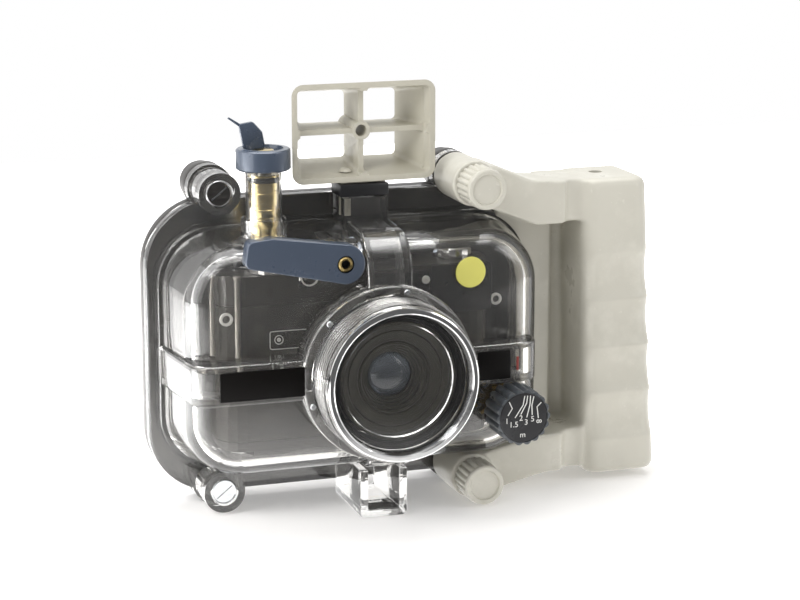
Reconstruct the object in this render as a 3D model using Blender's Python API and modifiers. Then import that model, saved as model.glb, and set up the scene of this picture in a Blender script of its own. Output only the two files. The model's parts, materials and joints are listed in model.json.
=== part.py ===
"""Underwater housing with a compact 35 mm film camera inside it, as separate solids.

Metres, +Z up. The front of the housing faces -Y. The origin lies on the standing plane, under the
middle of the foot bracket. The pieces are built with the parting plane at y = 0 and moved there at
the end. Distances "ahead" are measured from the parting plane towards -Y, so a piece behind the
plane has negative ones.
"""
import math

import bmesh
import bpy
from mathutils import Matrix, Vector

CLEARANCE = 0.0003          # gap between pieces that touch
SIDES = 18                  # facets of a round piece
SMALL_SIDES = 12            # facets of a small round piece
PORT_SIDES = 32             # facets of the port and the lens

# Front shell
LENS_HEIGHT = 0.060
SHELL_CENTRE = -0.00425
FLANGE_WIDTH = 0.1625
FLANGE_HEIGHT = 0.119
FLANGE_DROP = 0.0545
FLANGE_CORNER = 0.027
FLANGE_THICKNESS = 0.005
BODY_SIDE_INSET = 0.005
BODY_END_INSET = 0.011
BODY_DRAFT = 0.0035
BODY_SIDE_DRAFT = 0.0050
BODY_CORNER = 0.022
BODY_EDGE = 0.009
PANEL_AHEAD = 0.037
WALL = 0.004
RIDGE_AHEAD = 0.0485
RIDGE_HALF = 0.008
RIDGE_PROUD = 0.003
RIDGE_RIGHT_DROP = 0.0045
RIDGE_EDGE = 0.008
RIDGE_WALL = 0.003
RIDGE_FOOT_GAP = 0.001

# Rear cover, gasket and rear window
REAR_FLANGE = 0.005
REAR_DEPTH = 0.0126
REAR_WALL = 0.0035
PARTING_GAP = 0.0004
GASKET_SIDE_INSET = 0.0045
GASKET_END_INSET = 0.0108
GASKET_WIDTH = 0.0024
GASKET_THICKNESS = 0.0025
WINDOW_X = 0.006
WINDOW_RISE = 0.030
WINDOW_RADIUS = 0.009
WINDOW_RING_RADIUS = 0.012
WINDOW_RING_HEIGHT = 0.0022

# Port
PORT_BASE_RADIUS = 0.0345
PORT_BASE_AHEAD = 0.044
PORT_FLANGE_RADIUS = 0.0348
PORT_FLANGE_THICKNESS = 0.0057
PORT_BARREL_RADIUS = 0.0312
PORT_BORE = 0.027
PORT_SPIGOT_WALL = 0.0026
PORT_SPIGOT_LENGTH = 0.010
PORT_FRONT = 0.066
GLASS_RADIUS = 0.0280
GLASS_THICKNESS = 0.0028
GLASS_AHEAD = 0.0622
RIM_AHEAD = 0.068
RIM_OUTER = 0.0303
RIM_INNER = 0.0278
LINER_WALL = 0.0015

# Closures: two screws on the left, two knobs through the grip on the right
CLOSURE_LEFT = -0.059
CLOSURE_RIGHT = 0.042
CLOSURE_TOP_RISE = 0.0045
CLOSURE_BOTTOM_RISE = 0.0037
EAR_RADIUS = 0.0092
BOSS_RADIUS = 0.0083
BOSS_AHEAD = 0.020
SCREW_HEAD_RADIUS = 0.0052
SCREW_HEAD_HEIGHT = 0.0050
SHANK_RADIUS = 0.0029
GLAND_RADIUS = 0.0042
PIN_RADIUS = 0.002
INSERT_RADIUS = 0.0042
KNOB_LENGTH = 0.014
KNOB_RADIUS = 0.0083

# Grip
GRIP_AHEAD = 0.0297
ARM_AHEAD = 0.027
HANDLE_GAP = 0.017
HANDLE_WIDTH = 0.0245
HANDLE_FLARE = 0.0065
HANDLE_DEPTH = 0.033
HANDLE_TOP_DROP = 0.0015
HANDLE_BOTTOM_DROP = 0.0062
FINGER_PITCH = 0.0216
FINGER_DEPTH = 0.0016
FINGER_DROP = 0.0026
WEB_GAP = 0.0015
WEB_WIDTH = 0.0055
WEB_AHEAD = 0.006
RECESS_WALL = 0.004
GRIP_BACK = -0.006

# Finder on top
FINDER_WIDTH = 0.0588
FINDER_HEIGHT = 0.0392
FINDER_STANDOFF = 0.0009
FINDER_AHEAD = 0.018
FINDER_DEPTH = 0.0243
FINDER_SIDE_TAPER = 0.0073
FINDER_END_TAPER = 0.0045
FINDER_WALL = 0.0022
FINDER_CORNER = 0.0045
CROSS_THICKNESS = 0.0022
CROSS_RECESS = 0.0045
SIGHT_RADIUS = 0.0037
SIGHT_BORE = 0.00235
SHOE_WIDTH = 0.020
SHOE_HEIGHT = 0.0050
PEDESTAL_HEIGHT = 0.0107

# Film advance
WIND_X = -0.041
WIND_AHEAD = 0.018
WIND_BOSS_HEIGHT = 0.005
WIND_SLEEVE_HEIGHT = 0.0181
WIND_SLEEVE_RADIUS = 0.0072
WIND_GLAND_DROP = 0.0006
WIND_GLAND_RADIUS = 0.0053
WIND_GROOVE_DROP = 0.0008
WIND_GROOVE_DEPTH = 0.0012
WIND_GROOVE_HEIGHT = 0.0018
WIND_SHAFT_RADIUS = 0.003
WIND_CAP_GAP = 0.001
WIND_CAP_HEIGHT = 0.0084
WIND_CAP_RADIUS = 0.0107
WIND_TAB_HEIGHT = 0.0115
WIND_REST_ANGLE = 120.0

# Shutter release
SHUTTER_X = -0.0178
SHUTTER_RISE = 0.0045
CRANK_RADIUS = 0.0034
CRANK_NOSE = 0.0014
SHUTTER_SHAFT_RADIUS = 0.0022
SHUTTER_BOSS_HEIGHT = 0.003
SHUTTER_GLAND_HEAD = 0.0019
LEVER_GAP = 0.0016
LEVER_THICKNESS = 0.0067
LEVER_LENGTH = 0.0392
LEVER_TILT = 8.7
LEVER_PIVOT_RADIUS = 0.0078
LEVER_END_HALF = 0.0050

# Focus drive
KNOB_OFFSET = 0.0526
FOCUS_KNOB_RADIUS = 0.0114
FOCUS_BOSS_HEIGHT = 0.004
FOCUS_KNOB_LENGTH = 0.0148
FOCUS_DIAL_RADIUS = 0.0099
FOCUS_SHAFT_RADIUS = 0.0025
GEAR_MODULE = 0.0015
RING_TEETH = 38
IDLER_TEETH = 13
PINION_TEETH = 11
GEAR_GAP = 0.0014
GEAR_THICKNESS = 0.0035

# Marks
PLATE_HEIGHT = 0.0115
PLATE_THICKNESS = 0.001
LEFT_PLATE = (-0.0688, -0.0354)
RIGHT_PLATE = (0.0365, 0.0497)
DOT_X = 0.0375
DOT_RISE = 0.0354
DOT_RADIUS = 0.0062
MARK_CENTRE = 0.0532

# Foot bracket
FOOT_HALF = 0.0097
FOOT_AHEAD = 0.042
FOOT_DEPTH = 0.034
FOOT_WALL = 0.003
FOOT_LAP = 0.003

# Camera
CAMERA_LEFT = -0.061
CAMERA_WIDTH = 0.112
CAMERA_DROP = 0.033
CAMERA_HEIGHT = 0.070
CAMERA_AHEAD = 0.025
CAMERA_BODY_DEPTH = 0.0234
CAMERA_DOOR = 0.0034
CAMERA_CORNER = 0.010
TOP_COVER_HEIGHT = 0.0117
BOTTOM_COVER_HEIGHT = 0.0037
VIEW_WINDOW_INSET = 0.055
VIEW_WINDOW_WIDTH = 0.030
LENS_RADIUS = 0.024
LENS_AHEAD = 0.059
LENS_SPLIT = 0.037
APERTURE_RADIUS = 0.010
BUTTON_X = -0.028
BUTTON_RADIUS = 0.0032
BUTTON_RISE = 0.0033

FLANGE_BOTTOM = LENS_HEIGHT - FLANGE_DROP
FLANGE_TOP = FLANGE_BOTTOM + FLANGE_HEIGHT
FLANGE_RIGHT = SHELL_CENTRE + FLANGE_WIDTH / 2
BODY_TOP = FLANGE_TOP - BODY_END_INSET
BODY_BOTTOM = FLANGE_BOTTOM + BODY_END_INSET
CAMERA_BASE = LENS_HEIGHT - CAMERA_DROP
CAMERA_TOP = CAMERA_BASE + CAMERA_HEIGHT
CAMERA_RIGHT = CAMERA_LEFT + CAMERA_WIDTH
BUTTON_TOP = CAMERA_TOP + BUTTON_RISE
WINDOW_CENTRE = (WINDOW_X, LENS_HEIGHT + WINDOW_RISE)
DOT_CENTRE = (DOT_X, LENS_HEIGHT + DOT_RISE)
CLOSURE_TOP = FLANGE_TOP + CLOSURE_TOP_RISE
CLOSURE_BOTTOM = FLANGE_BOTTOM + CLOSURE_BOTTOM_RISE
KNOB_AHEAD = GRIP_AHEAD + CLEARANCE + KNOB_LENGTH
WEB_LEFT = FLANGE_RIGHT + WEB_GAP
HANDLE_LEFT = FLANGE_RIGHT + HANDLE_GAP
HANDLE_TOP = CLOSURE_TOP - HANDLE_TOP_DROP
HANDLE_BOTTOM = CLOSURE_BOTTOM - HANDLE_BOTTOM_DROP
PEDESTAL_TOP = BODY_TOP + PEDESTAL_HEIGHT
SHOE_TOP = PEDESTAL_TOP + CLEARANCE + SHOE_HEIGHT
FINDER_AXIS = SHOE_TOP + FINDER_STANDOFF + FINDER_HEIGHT / 2
WIND_BOSS_TOP = BODY_TOP + WIND_BOSS_HEIGHT
WIND_SLEEVE_TOP = WIND_BOSS_TOP + WIND_SLEEVE_HEIGHT
WIND_GLAND_TOP = WIND_SLEEVE_TOP - WIND_GLAND_DROP
WIND_GROOVE_TOP = WIND_GLAND_TOP - WIND_GROOVE_DROP
WIND_CAP_BOTTOM = WIND_SLEEVE_TOP + WIND_CAP_GAP
SHUTTER_HEIGHT = BUTTON_TOP + SHUTTER_RISE
SHUTTER_BOSS_AHEAD = PANEL_AHEAD + SHUTTER_BOSS_HEIGHT
SHUTTER_GLAND_TOP = SHUTTER_BOSS_AHEAD + CLEARANCE + SHUTTER_GLAND_HEAD
LEVER_BACK = SHUTTER_GLAND_TOP + LEVER_GAP
LEVER_AHEAD = LEVER_BACK + LEVER_THICKNESS
FOCUS_BOSS_AHEAD = PANEL_AHEAD + FOCUS_BOSS_HEIGHT
GEAR_BACK = CAMERA_AHEAD + GEAR_GAP
FOOT_TOP = BODY_BOTTOM + FOOT_LAP
INSIDE_AHEAD = PANEL_AHEAD - WALL
INSIDE_TOP = BODY_TOP - WALL
LENS_AXIS = (0.0, LENS_HEIGHT)
SHUTTER_AXIS = (SHUTTER_X, SHUTTER_HEIGHT)
WIND_AXIS = (WIND_X, -WIND_AHEAD)

FINISHES = {
    "clear": ((0.80, 0.84, 0.85), 0.06, 0.0),
    "dark": ((0.05, 0.05, 0.055), 0.45, 0.0),
    "rubber": ((0.02, 0.02, 0.02), 0.80, 0.0),
    "grip": ((0.58, 0.57, 0.50), 0.50, 0.0),
    "blue": ((0.09, 0.12, 0.19), 0.35, 0.3),
    "brass": ((0.60, 0.46, 0.17), 0.28, 1.0),
    "steel": ((0.60, 0.61, 0.62), 0.25, 1.0),
    "black": ((0.02, 0.02, 0.022), 0.40, 0.0),
    "chrome": ((0.80, 0.80, 0.80), 0.12, 1.0),
    "glass": ((0.55, 0.60, 0.66), 0.02, 0.0),
    "yellow": ((0.62, 0.62, 0.10), 0.45, 0.0),
    "red": ((0.55, 0.04, 0.03), 0.50, 0.0),
}


def clear_scene():
    """Remove every object, so that the model starts from nothing."""
    for old in list(bpy.data.objects):
        bpy.data.objects.remove(old, do_unlink=True)


def new_collection(name):
    """Make a collection under the scene's own."""
    collection = bpy.data.collections.new(name)
    bpy.context.scene.collection.children.link(collection)
    return collection


clear_scene()
PARTS = new_collection("underwater_film_camera")
CUTTERS = new_collection("cutters")


def finish_material(name, finish):
    """Make the material of one piece."""
    colour, roughness, metallic = FINISHES[finish]
    made = bpy.data.materials.new(name + "_finish")
    made.use_nodes = True
    shader = made.node_tree.nodes["Principled BSDF"]
    shader.inputs["Base Color"].default_value = (*colour, 1.0)
    shader.inputs["Roughness"].default_value = roughness
    shader.inputs["Metallic"].default_value = metallic
    made.diffuse_color = (*colour, 1.0)
    return made


def add_object(name, mesh, finish=None, matrix=None):
    """Link a mesh as a piece where it has a finish, or else as a hidden tool shape."""
    item = bpy.data.objects.new(name, mesh)
    if matrix is not None:
        item.matrix_world = matrix
    if finish:
        mesh.materials.clear()
        mesh.materials.append(finish_material(name, finish))
        PARTS.objects.link(item)
    else:
        item.hide_render = True
        item.display_type = "WIRE"
        CUTTERS.objects.link(item)
    return item


def mesh_from(name, bm):
    """Turn a bmesh into mesh data with its faces out, and free it."""
    bmesh.ops.recalc_face_normals(bm, faces=bm.faces)
    mesh = bpy.data.meshes.new(name)
    bm.to_mesh(mesh)
    bm.free()
    mesh.shade_smooth()
    mesh.set_sharp_from_angle(angle=math.radians(35))
    return mesh


def frame(axis, centre=(0.0, 0.0), along=0.0):
    """Local axes of a piece: local Z is ahead ("Y"), to the left ("X") or up ("Z")."""
    if axis == "Y":
        turn = Matrix.Rotation(math.radians(90), 4, "X")
        place = (centre[0], -along, centre[1])
    elif axis == "X":
        turn = Matrix.Rotation(math.radians(-90), 4, "Z") @ Matrix.Rotation(math.radians(90), 4, "X")
        place = (along, -centre[0], centre[1])
    else:
        turn = Matrix.Identity(4)
        place = (centre[0], centre[1], along)
    return Matrix.Translation(place) @ turn


def box(name, x, y, z, finish=None):
    """A box between two values on each world axis."""
    bm = bmesh.new()
    bmesh.ops.create_cube(bm, size=1.0)
    size = Vector((x[1] - x[0], y[1] - y[0], z[1] - z[0]))
    middle = Vector((x[1] + x[0], y[1] + y[0], z[1] + z[0])) / 2
    bmesh.ops.scale(bm, vec=size, verts=bm.verts)
    bmesh.ops.translate(bm, vec=middle, verts=bm.verts)
    return add_object(name, mesh_from(name, bm), finish)


def cylinder(name, radius, low, high, axis="Y", centre=(0.0, 0.0), finish=None, sides=SIDES):
    """A cylinder between two distances along its axis."""
    bm = bmesh.new()
    middle = Matrix.Translation((0.0, 0.0, (low + high) / 2))
    bmesh.ops.create_cone(bm, cap_ends=True, segments=sides, radius1=radius, radius2=radius,
                          depth=high - low, matrix=middle)
    return add_object(name, mesh_from(name, bm), finish, frame(axis, centre))


def turned(name, profile, axis="Y", centre=(0.0, 0.0), finish=None, bored=False, sides=SIDES):
    """A turned piece from (radius, distance along the axis) points, outer side from top to bottom."""
    mesh = bpy.data.meshes.new(name)
    points = [(radius, 0.0, along) for radius, along in profile]
    edges = [(index, index + 1) for index in range(len(points) - 1)]
    if bored:
        edges.append((len(points) - 1, 0))
    mesh.from_pydata(points, edges, [])
    item = add_object(name, mesh, finish, frame(axis, centre))
    screw = item.modifiers.new("turn", "SCREW")
    screw.axis = "Z"
    screw.steps = sides
    screw.render_steps = sides
    screw.use_merge_vertices = True
    screw.merge_threshold = 0.00001
    screw.use_smooth_shade = False
    return item


def ring(name, outer, inner, low, high, axis="Y", centre=(0.0, 0.0), finish=None, sides=SIDES):
    """A plain ring or bush."""
    profile = [(outer, high), (outer, low), (inner, low), (inner, high)]
    return turned(name, profile, axis, centre, finish, bored=True, sides=sides)


def rounded(points, steps=4):
    """Polygon through (u, v, radius) corners, each corner an arc of its radius."""
    outline = []
    for index, (u, v, radius) in enumerate(points):
        corner = Vector((u, v))
        before = (Vector(points[index - 1][:2]) - corner).normalized()
        after = (Vector(points[(index + 1) % len(points)][:2]) - corner).normalized()
        if radius <= 0.0:
            outline.append(tuple(corner))
            continue
        half = before.angle(after) / 2
        reach = radius / math.tan(half)
        centre = corner + (before + after).normalized() * radius / math.sin(half)
        start = corner + before * reach - centre
        end = corner + after * reach - centre
        sweep = start.angle_signed(end)
        for step in range(steps + 1):
            turn = Matrix.Rotation(-sweep * step / steps, 2)
            outline.append(tuple(centre + turn @ start))
    return outline


def rounded_rectangle(left, right, bottom, top, radius, steps=5):
    """A rectangle with one radius at its four corners."""
    corners = [(left, bottom), (right, bottom), (right, top), (left, top)]
    return rounded([(u, v, radius) for u, v in corners], steps)


def circle(radius, centre=(0.0, 0.0), sides=SMALL_SIDES):
    """Points of a circle."""
    angles = [math.tau * index / sides for index in range(sides)]
    return [(centre[0] + radius * math.cos(a), centre[1] + radius * math.sin(a)) for a in angles]


def lobed(radius, depth, count):
    """Outline of a ribbed knob, with the lobes at the radius and the grooves below it."""
    outline = []
    for index in range(count * 4):
        at_groove = index % 4 in (0, 3)
        turn = math.tau * (index + (0.25 if index % 2 else -0.25)) / (count * 4)
        reach = radius - (depth if at_groove else 0.0)
        outline.append((reach * math.cos(turn), reach * math.sin(turn)))
    return outline


def plate(name, outlines, low, high, axis="Y", centre=(0.0, 0.0), finish=None):
    """A flat piece: its first outline filled and extruded, with the other outlines as holes."""
    curve = bpy.data.curves.new(name, "CURVE")
    curve.dimensions = "2D"
    curve.fill_mode = "BOTH"
    curve.extrude = (high - low) / 2
    for outline in outlines:
        spline = curve.splines.new("POLY")
        spline.points.add(len(outline) - 1)
        spline.use_cyclic_u = True
        for point, (u, v) in zip(spline.points, outline):
            point.co = (u, v, 0.0, 1.0)
    drawn = bpy.data.objects.new(name + "_outline", curve)
    PARTS.objects.link(drawn)
    bpy.context.view_layer.update()
    evaluated = drawn.evaluated_get(bpy.context.evaluated_depsgraph_get())
    mesh = bpy.data.meshes.new_from_object(evaluated)
    bpy.data.objects.remove(drawn, do_unlink=True)
    bm = bmesh.new()
    bm.from_mesh(mesh)
    bpy.data.meshes.remove(mesh)
    bmesh.ops.remove_doubles(bm, verts=bm.verts, dist=0.000002)
    return add_object(name, mesh_from(name, bm), finish, frame(axis, centre, (low + high) / 2))


def block(name, start, end, corner, edge, finish=None, segments=4):
    """A drafted box along Y with round corners and a round edge at its end face.

    start and end are (y, left, right, bottom, top); the end face is the rounded one.
    """
    bm = bmesh.new()
    bmesh.ops.create_cube(bm, size=1.0)
    outward = 1.0 if end[0] > start[0] else -1.0
    for vert in bm.verts:
        y, left, right, bottom, top = end if vert.co.y * outward > 0 else start
        vert.co = (right if vert.co.x > 0 else left, y, top if vert.co.z > 0 else bottom)
    sides = [e for e in bm.edges if abs(e.verts[0].co.y - e.verts[1].co.y) > 1e-6]
    bmesh.ops.bevel(bm, geom=sides, offset=corner, segments=segments, profile=0.5, affect="EDGES")
    if edge > 0.0:
        rim = [e for e in bm.edges if all(abs(v.co.y - end[0]) < 1e-6 for v in e.verts)]
        bmesh.ops.bevel(bm, geom=rim, offset=edge, segments=2, profile=0.5, affect="EDGES")
    bmesh.ops.triangulate(bm, faces=bm.faces)
    return add_object(name, mesh_from(name, bm), finish)


def combine(item, operation, others):
    """Add Boolean modifiers that join, cut or keep what others cover."""
    for other in others:
        step = item.modifiers.new(operation.lower() + "_" + other.name, "BOOLEAN")
        step.operation = operation
        step.solver = "EXACT"
        step.object = other


def fuse(item, *others):
    """Join others to the piece."""
    combine(item, "UNION", others)


def carve(item, *others):
    """Cut others out of the piece."""
    combine(item, "DIFFERENCE", others)


def polar(radius, degrees, centre=(0.0, 0.0)):
    """A point at a distance and a direction from a centre."""
    turn = math.radians(degrees)
    return (centre[0] + radius * math.cos(turn), centre[1] + radius * math.sin(turn))


def flange_sides(inset_side=0.0, inset_end=0.0):
    """Left, right, bottom and top of the flange, moved in by two insets."""
    left = SHELL_CENTRE - FLANGE_WIDTH / 2 + inset_side
    right = SHELL_CENTRE + FLANGE_WIDTH / 2 - inset_side
    return left, right, FLANGE_BOTTOM + inset_end, FLANGE_BOTTOM + FLANGE_HEIGHT - inset_end


def body_block(name, grow, reach, start=0.0, edge=BODY_EDGE):
    """The front shell's outer form, grown or shrunk, from a start plane to a reach ahead."""
    left, right, bottom, top = flange_sides(BODY_SIDE_INSET - grow, BODY_END_INSET - grow)
    back = (-start, left, right, bottom, top)
    front = (-reach, left + BODY_SIDE_DRAFT, right - BODY_SIDE_DRAFT, bottom + BODY_DRAFT, top - BODY_DRAFT)
    return block(name, back, front, BODY_CORNER + grow, max(edge + grow, 0.002))


def closures():
    """Name suffix and axis of each of the four closures."""
    return [
        ("top_left", (CLOSURE_LEFT, CLOSURE_TOP)),
        ("bottom_left", (CLOSURE_LEFT, CLOSURE_BOTTOM)),
        ("top_right", (CLOSURE_RIGHT, CLOSURE_TOP)),
        ("bottom_right", (CLOSURE_RIGHT, CLOSURE_BOTTOM)),
    ]


def focus_axis():
    """The focus shaft sits where its pinion meshes through the idler with the lens ring."""
    span = GEAR_MODULE * (RING_TEETH + 2 * IDLER_TEETH + PINION_TEETH) / 2
    return KNOB_OFFSET, LENS_HEIGHT - math.sqrt(span ** 2 - KNOB_OFFSET ** 2)


def drive_angle():
    """Direction from the lens axis to the focus shaft, in degrees."""
    x, z = focus_axis()
    return math.degrees(math.atan2(z - LENS_HEIGHT, x))


def idler_axis():
    """The idler lies on the line from the lens axis to the focus shaft."""
    return polar(GEAR_MODULE * (RING_TEETH + IDLER_TEETH) / 2, drive_angle(), LENS_AXIS)


def gear_outline(teeth, tooth_at):
    """Outline of a spur gear with one tooth centred at a direction in degrees."""
    pitch = GEAR_MODULE * teeth / 2
    root, tip = pitch - 0.95 * GEAR_MODULE, pitch + 0.6 * GEAR_MODULE
    step = 360.0 / teeth
    outline = []
    for index in range(teeth):
        middle = tooth_at + index * step
        outline.append(polar(root, middle - 0.26 * step))
        outline.append(polar(tip, middle - 0.10 * step))
        outline.append(polar(tip, middle + 0.10 * step))
        outline.append(polar(root, middle + 0.26 * step))
    return outline


def ridge_tools(prefix, inset, back):
    """The upright and the level ridge as bars, inset by a wall where they are hollow."""
    ahead = RIDGE_AHEAD - inset
    half = RIDGE_HALF - inset
    left, right, bottom, top = flange_sides(BODY_SIDE_INSET, BODY_END_INSET)
    low = bottom + BODY_DRAFT + RIDGE_FOOT_GAP + inset
    high = top + RIDGE_PROUD - inset
    edge = RIDGE_EDGE - inset / 2
    upright = rounded([(back, low, 0), (ahead, low, edge), (ahead, high - 0.0015, edge), (back, high, 0)])
    left, right = left - RIDGE_PROUD + inset, right - RIDGE_RIGHT_DROP - inset
    level = rounded([(left, -back, 0), (left + BODY_SIDE_DRAFT, -ahead, edge),
                     (right - BODY_SIDE_DRAFT, -ahead, edge), (right, -back, 0)])
    return (plate(prefix + "_upright", [upright], -half, half, "X"),
            plate(prefix + "_level", [level], LENS_HEIGHT - half, LENS_HEIGHT + half, "Z"))


def build_front_shell():
    """Clear front half: flange, drafted body, crossed ridges, port seat, bosses and ears."""
    outline = rounded_rectangle(*flange_sides(), FLANGE_CORNER)
    shell = plate("front_shell", [outline], 0.0, FLANGE_THICKNESS, finish="clear")
    fuse(shell, body_block("shell_form", 0.0, PANEL_AHEAD, start=0.001))
    fuse(shell, *ridge_tools("ridge", 0.0, 0.002))
    root = PANEL_AHEAD - 0.003
    fuse(shell, cylinder("port_seat", PORT_BASE_RADIUS, root, PORT_BASE_AHEAD, centre=LENS_AXIS,
                         sides=PORT_SIDES))
    fuse(shell, cylinder("shutter_boss", 0.0075, root, SHUTTER_BOSS_AHEAD, centre=SHUTTER_AXIS))
    fuse(shell, cylinder("focus_boss", 0.007, root, FOCUS_BOSS_AHEAD, centre=focus_axis()))
    fuse(shell, cylinder("wind_boss", 0.009, BODY_TOP - 0.0055, WIND_BOSS_TOP, "Z", WIND_AXIS))
    fuse(shell, cylinder("wind_sleeve", WIND_SLEEVE_RADIUS, BODY_TOP - 0.0035, WIND_SLEEVE_TOP, "Z",
                         WIND_AXIS))
    fuse(shell, box("pedestal", (-0.009, 0.009), (-0.0195, -0.0045), (BODY_TOP - 0.002, PEDESTAL_TOP)))
    for suffix, axis in closures():
        fuse(shell, cylinder("ear_" + suffix, EAR_RADIUS, 0.0001, FLANGE_THICKNESS - 0.0001, centre=axis))
        if suffix.endswith("left"):
            fuse(shell, cylinder("boss_" + suffix, BOSS_RADIUS, 0.0003, BOSS_AHEAD, centre=axis))
    carve(shell, body_block("shell_cavity", -WALL, INSIDE_AHEAD, start=-0.001))
    carve(shell, *ridge_tools("channel", RIDGE_WALL, FLANGE_THICKNESS + 0.001))
    carve_front_shell(shell)
    return shell


def carve_front_shell(shell):
    """Bores of the front shell."""
    bore = PORT_BORE + PORT_SPIGOT_WALL + CLEARANCE
    carve(shell, cylinder("port_bore", bore, INSIDE_AHEAD - 0.005, PORT_BASE_AHEAD + 0.016,
                          centre=LENS_AXIS, sides=PORT_SIDES))
    rebate = PORT_FLANGE_RADIUS + 2 * CLEARANCE
    carve(shell, cylinder("port_rebate", rebate, PORT_BASE_AHEAD, PORT_BASE_AHEAD + 0.016,
                          centre=LENS_AXIS, sides=PORT_SIDES))
    carve(shell, cylinder("shutter_gland_bore", GLAND_RADIUS + CLEARANCE, INSIDE_AHEAD - 0.008,
                          SHUTTER_BOSS_AHEAD + 0.005, centre=SHUTTER_AXIS))
    carve(shell, cylinder("crank_pocket", CRANK_RADIUS + 0.0005, 0.016, INSIDE_AHEAD,
                          centre=SHUTTER_AXIS))
    carve(shell, cylinder("focus_gland_bore", GLAND_RADIUS + CLEARANCE, INSIDE_AHEAD - 0.008,
                          FOCUS_BOSS_AHEAD + 0.004, centre=focus_axis()))
    carve(shell, cylinder("wind_gland_bore", WIND_GLAND_RADIUS + CLEARANCE, INSIDE_TOP - 0.009,
                          WIND_SLEEVE_TOP + 0.008, "Z", WIND_AXIS))
    carve(shell, cylinder("idler_pin_bore", PIN_RADIUS + CLEARANCE, INSIDE_AHEAD - 0.008,
                          PANEL_AHEAD - 0.0012, centre=idler_axis(), sides=SMALL_SIDES))
    carve(shell, cylinder("finder_screw_bore", 0.0016, PEDESTAL_TOP - 0.008, PEDESTAL_TOP + 0.01, "Z",
                          (-0.006, -0.012), sides=SMALL_SIDES))
    for suffix, axis in closures():
        carve(shell, cylinder("shank_bore_" + suffix, SHANK_RADIUS + CLEARANCE, -0.005, BOSS_AHEAD + 0.010,
                              centre=axis, sides=SMALL_SIDES))
        if suffix.endswith("left"):
            head = SCREW_HEAD_RADIUS + CLEARANCE
            floor = BOSS_AHEAD - SCREW_HEAD_HEIGHT - 0.0012
            carve(shell, cylinder("head_bore_" + suffix, head, floor, BOSS_AHEAD + 0.010, centre=axis))


def build_rear_cover():
    """Dark rear tray with the gasket groove, four ears and the window opening."""
    front, back = -PARTING_GAP, -PARTING_GAP - REAR_FLANGE
    cover = plate("rear_cover", [rounded_rectangle(*flange_sides(), FLANGE_CORNER)], back, front,
                  finish="dark")
    left, right, bottom, top = flange_sides(BODY_SIDE_INSET, BODY_END_INSET)
    start = (0.0030, left, right, bottom, top)
    end = (REAR_DEPTH, left + 0.003, right - 0.003, bottom + 0.003, top - 0.003)
    fuse(cover, block("tray_form", start, end, BODY_CORNER, 0.004))
    for suffix, axis in closures():
        fuse(cover, cylinder("rear_ear_" + suffix, EAR_RADIUS, back + 0.0001, front - 0.0001, centre=axis))
        fuse(cover, cylinder("rear_boss_" + suffix, BOSS_RADIUS, -REAR_DEPTH + 0.0006, front - 0.0003,
                             centre=axis))
    start = (-0.002, left + WALL, right - WALL, bottom + WALL, top - WALL)
    floor = REAR_DEPTH - REAR_WALL
    end = (floor, left + WALL + 0.003, right - WALL - 0.003, bottom + WALL + 0.003, top - WALL - 0.003)
    carve(cover, block("tray_cavity", start, end, BODY_CORNER - WALL, 0.002))
    half = GASKET_WIDTH / 2 + CLEARANCE
    sides = flange_sides(GASKET_SIDE_INSET - half, GASKET_END_INSET - half)
    inner = flange_sides(GASKET_SIDE_INSET + half, GASKET_END_INSET + half)
    groove = [rounded_rectangle(*sides, BODY_CORNER + half), rounded_rectangle(*inner, BODY_CORNER - half)]
    carve(cover, plate("gasket_groove", groove, -GASKET_THICKNESS - CLEARANCE - 0.0001, 0.002))
    carve(cover, cylinder("window_bore", WINDOW_RADIUS + CLEARANCE, -0.030, -0.004, centre=WINDOW_CENTRE))
    for suffix, axis in closures():
        carve(cover, cylinder("rear_shank_bore_" + suffix, SHANK_RADIUS + CLEARANCE, -0.020, 0.005,
                              centre=axis, sides=SMALL_SIDES))
        carve(cover, cylinder("insert_bore_" + suffix, INSERT_RADIUS + CLEARANCE, -0.020, -0.0022,
                              centre=axis, sides=SMALL_SIDES))
        ring("insert_" + suffix, INSERT_RADIUS, SHANK_RADIUS + CLEARANCE, -REAR_DEPTH + 0.0010, -0.0025,
             centre=axis, finish="brass", sides=SMALL_SIDES)


def build_seals_and_window():
    """Main gasket in its groove, and the rear window under its ring."""
    half = GASKET_WIDTH / 2
    outer = flange_sides(GASKET_SIDE_INSET - half, GASKET_END_INSET - half)
    inner = flange_sides(GASKET_SIDE_INSET + half, GASKET_END_INSET + half)
    loops = [rounded_rectangle(*outer, BODY_CORNER + half), rounded_rectangle(*inner, BODY_CORNER - half)]
    plate("main_gasket", loops, -GASKET_THICKNESS - 0.0001, -0.0001, finish="rubber")
    inside = -REAR_DEPTH + REAR_WALL
    cylinder("rear_window", WINDOW_RADIUS, -REAR_DEPTH, inside, centre=WINDOW_CENTRE, finish="glass")
    low = -REAR_DEPTH - CLEARANCE - WINDOW_RING_HEIGHT
    ring("rear_window_ring", WINDOW_RING_RADIUS, WINDOW_RADIUS - 0.0015, low, -REAR_DEPTH - CLEARANCE,
         centre=WINDOW_CENTRE, finish="black")


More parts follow.
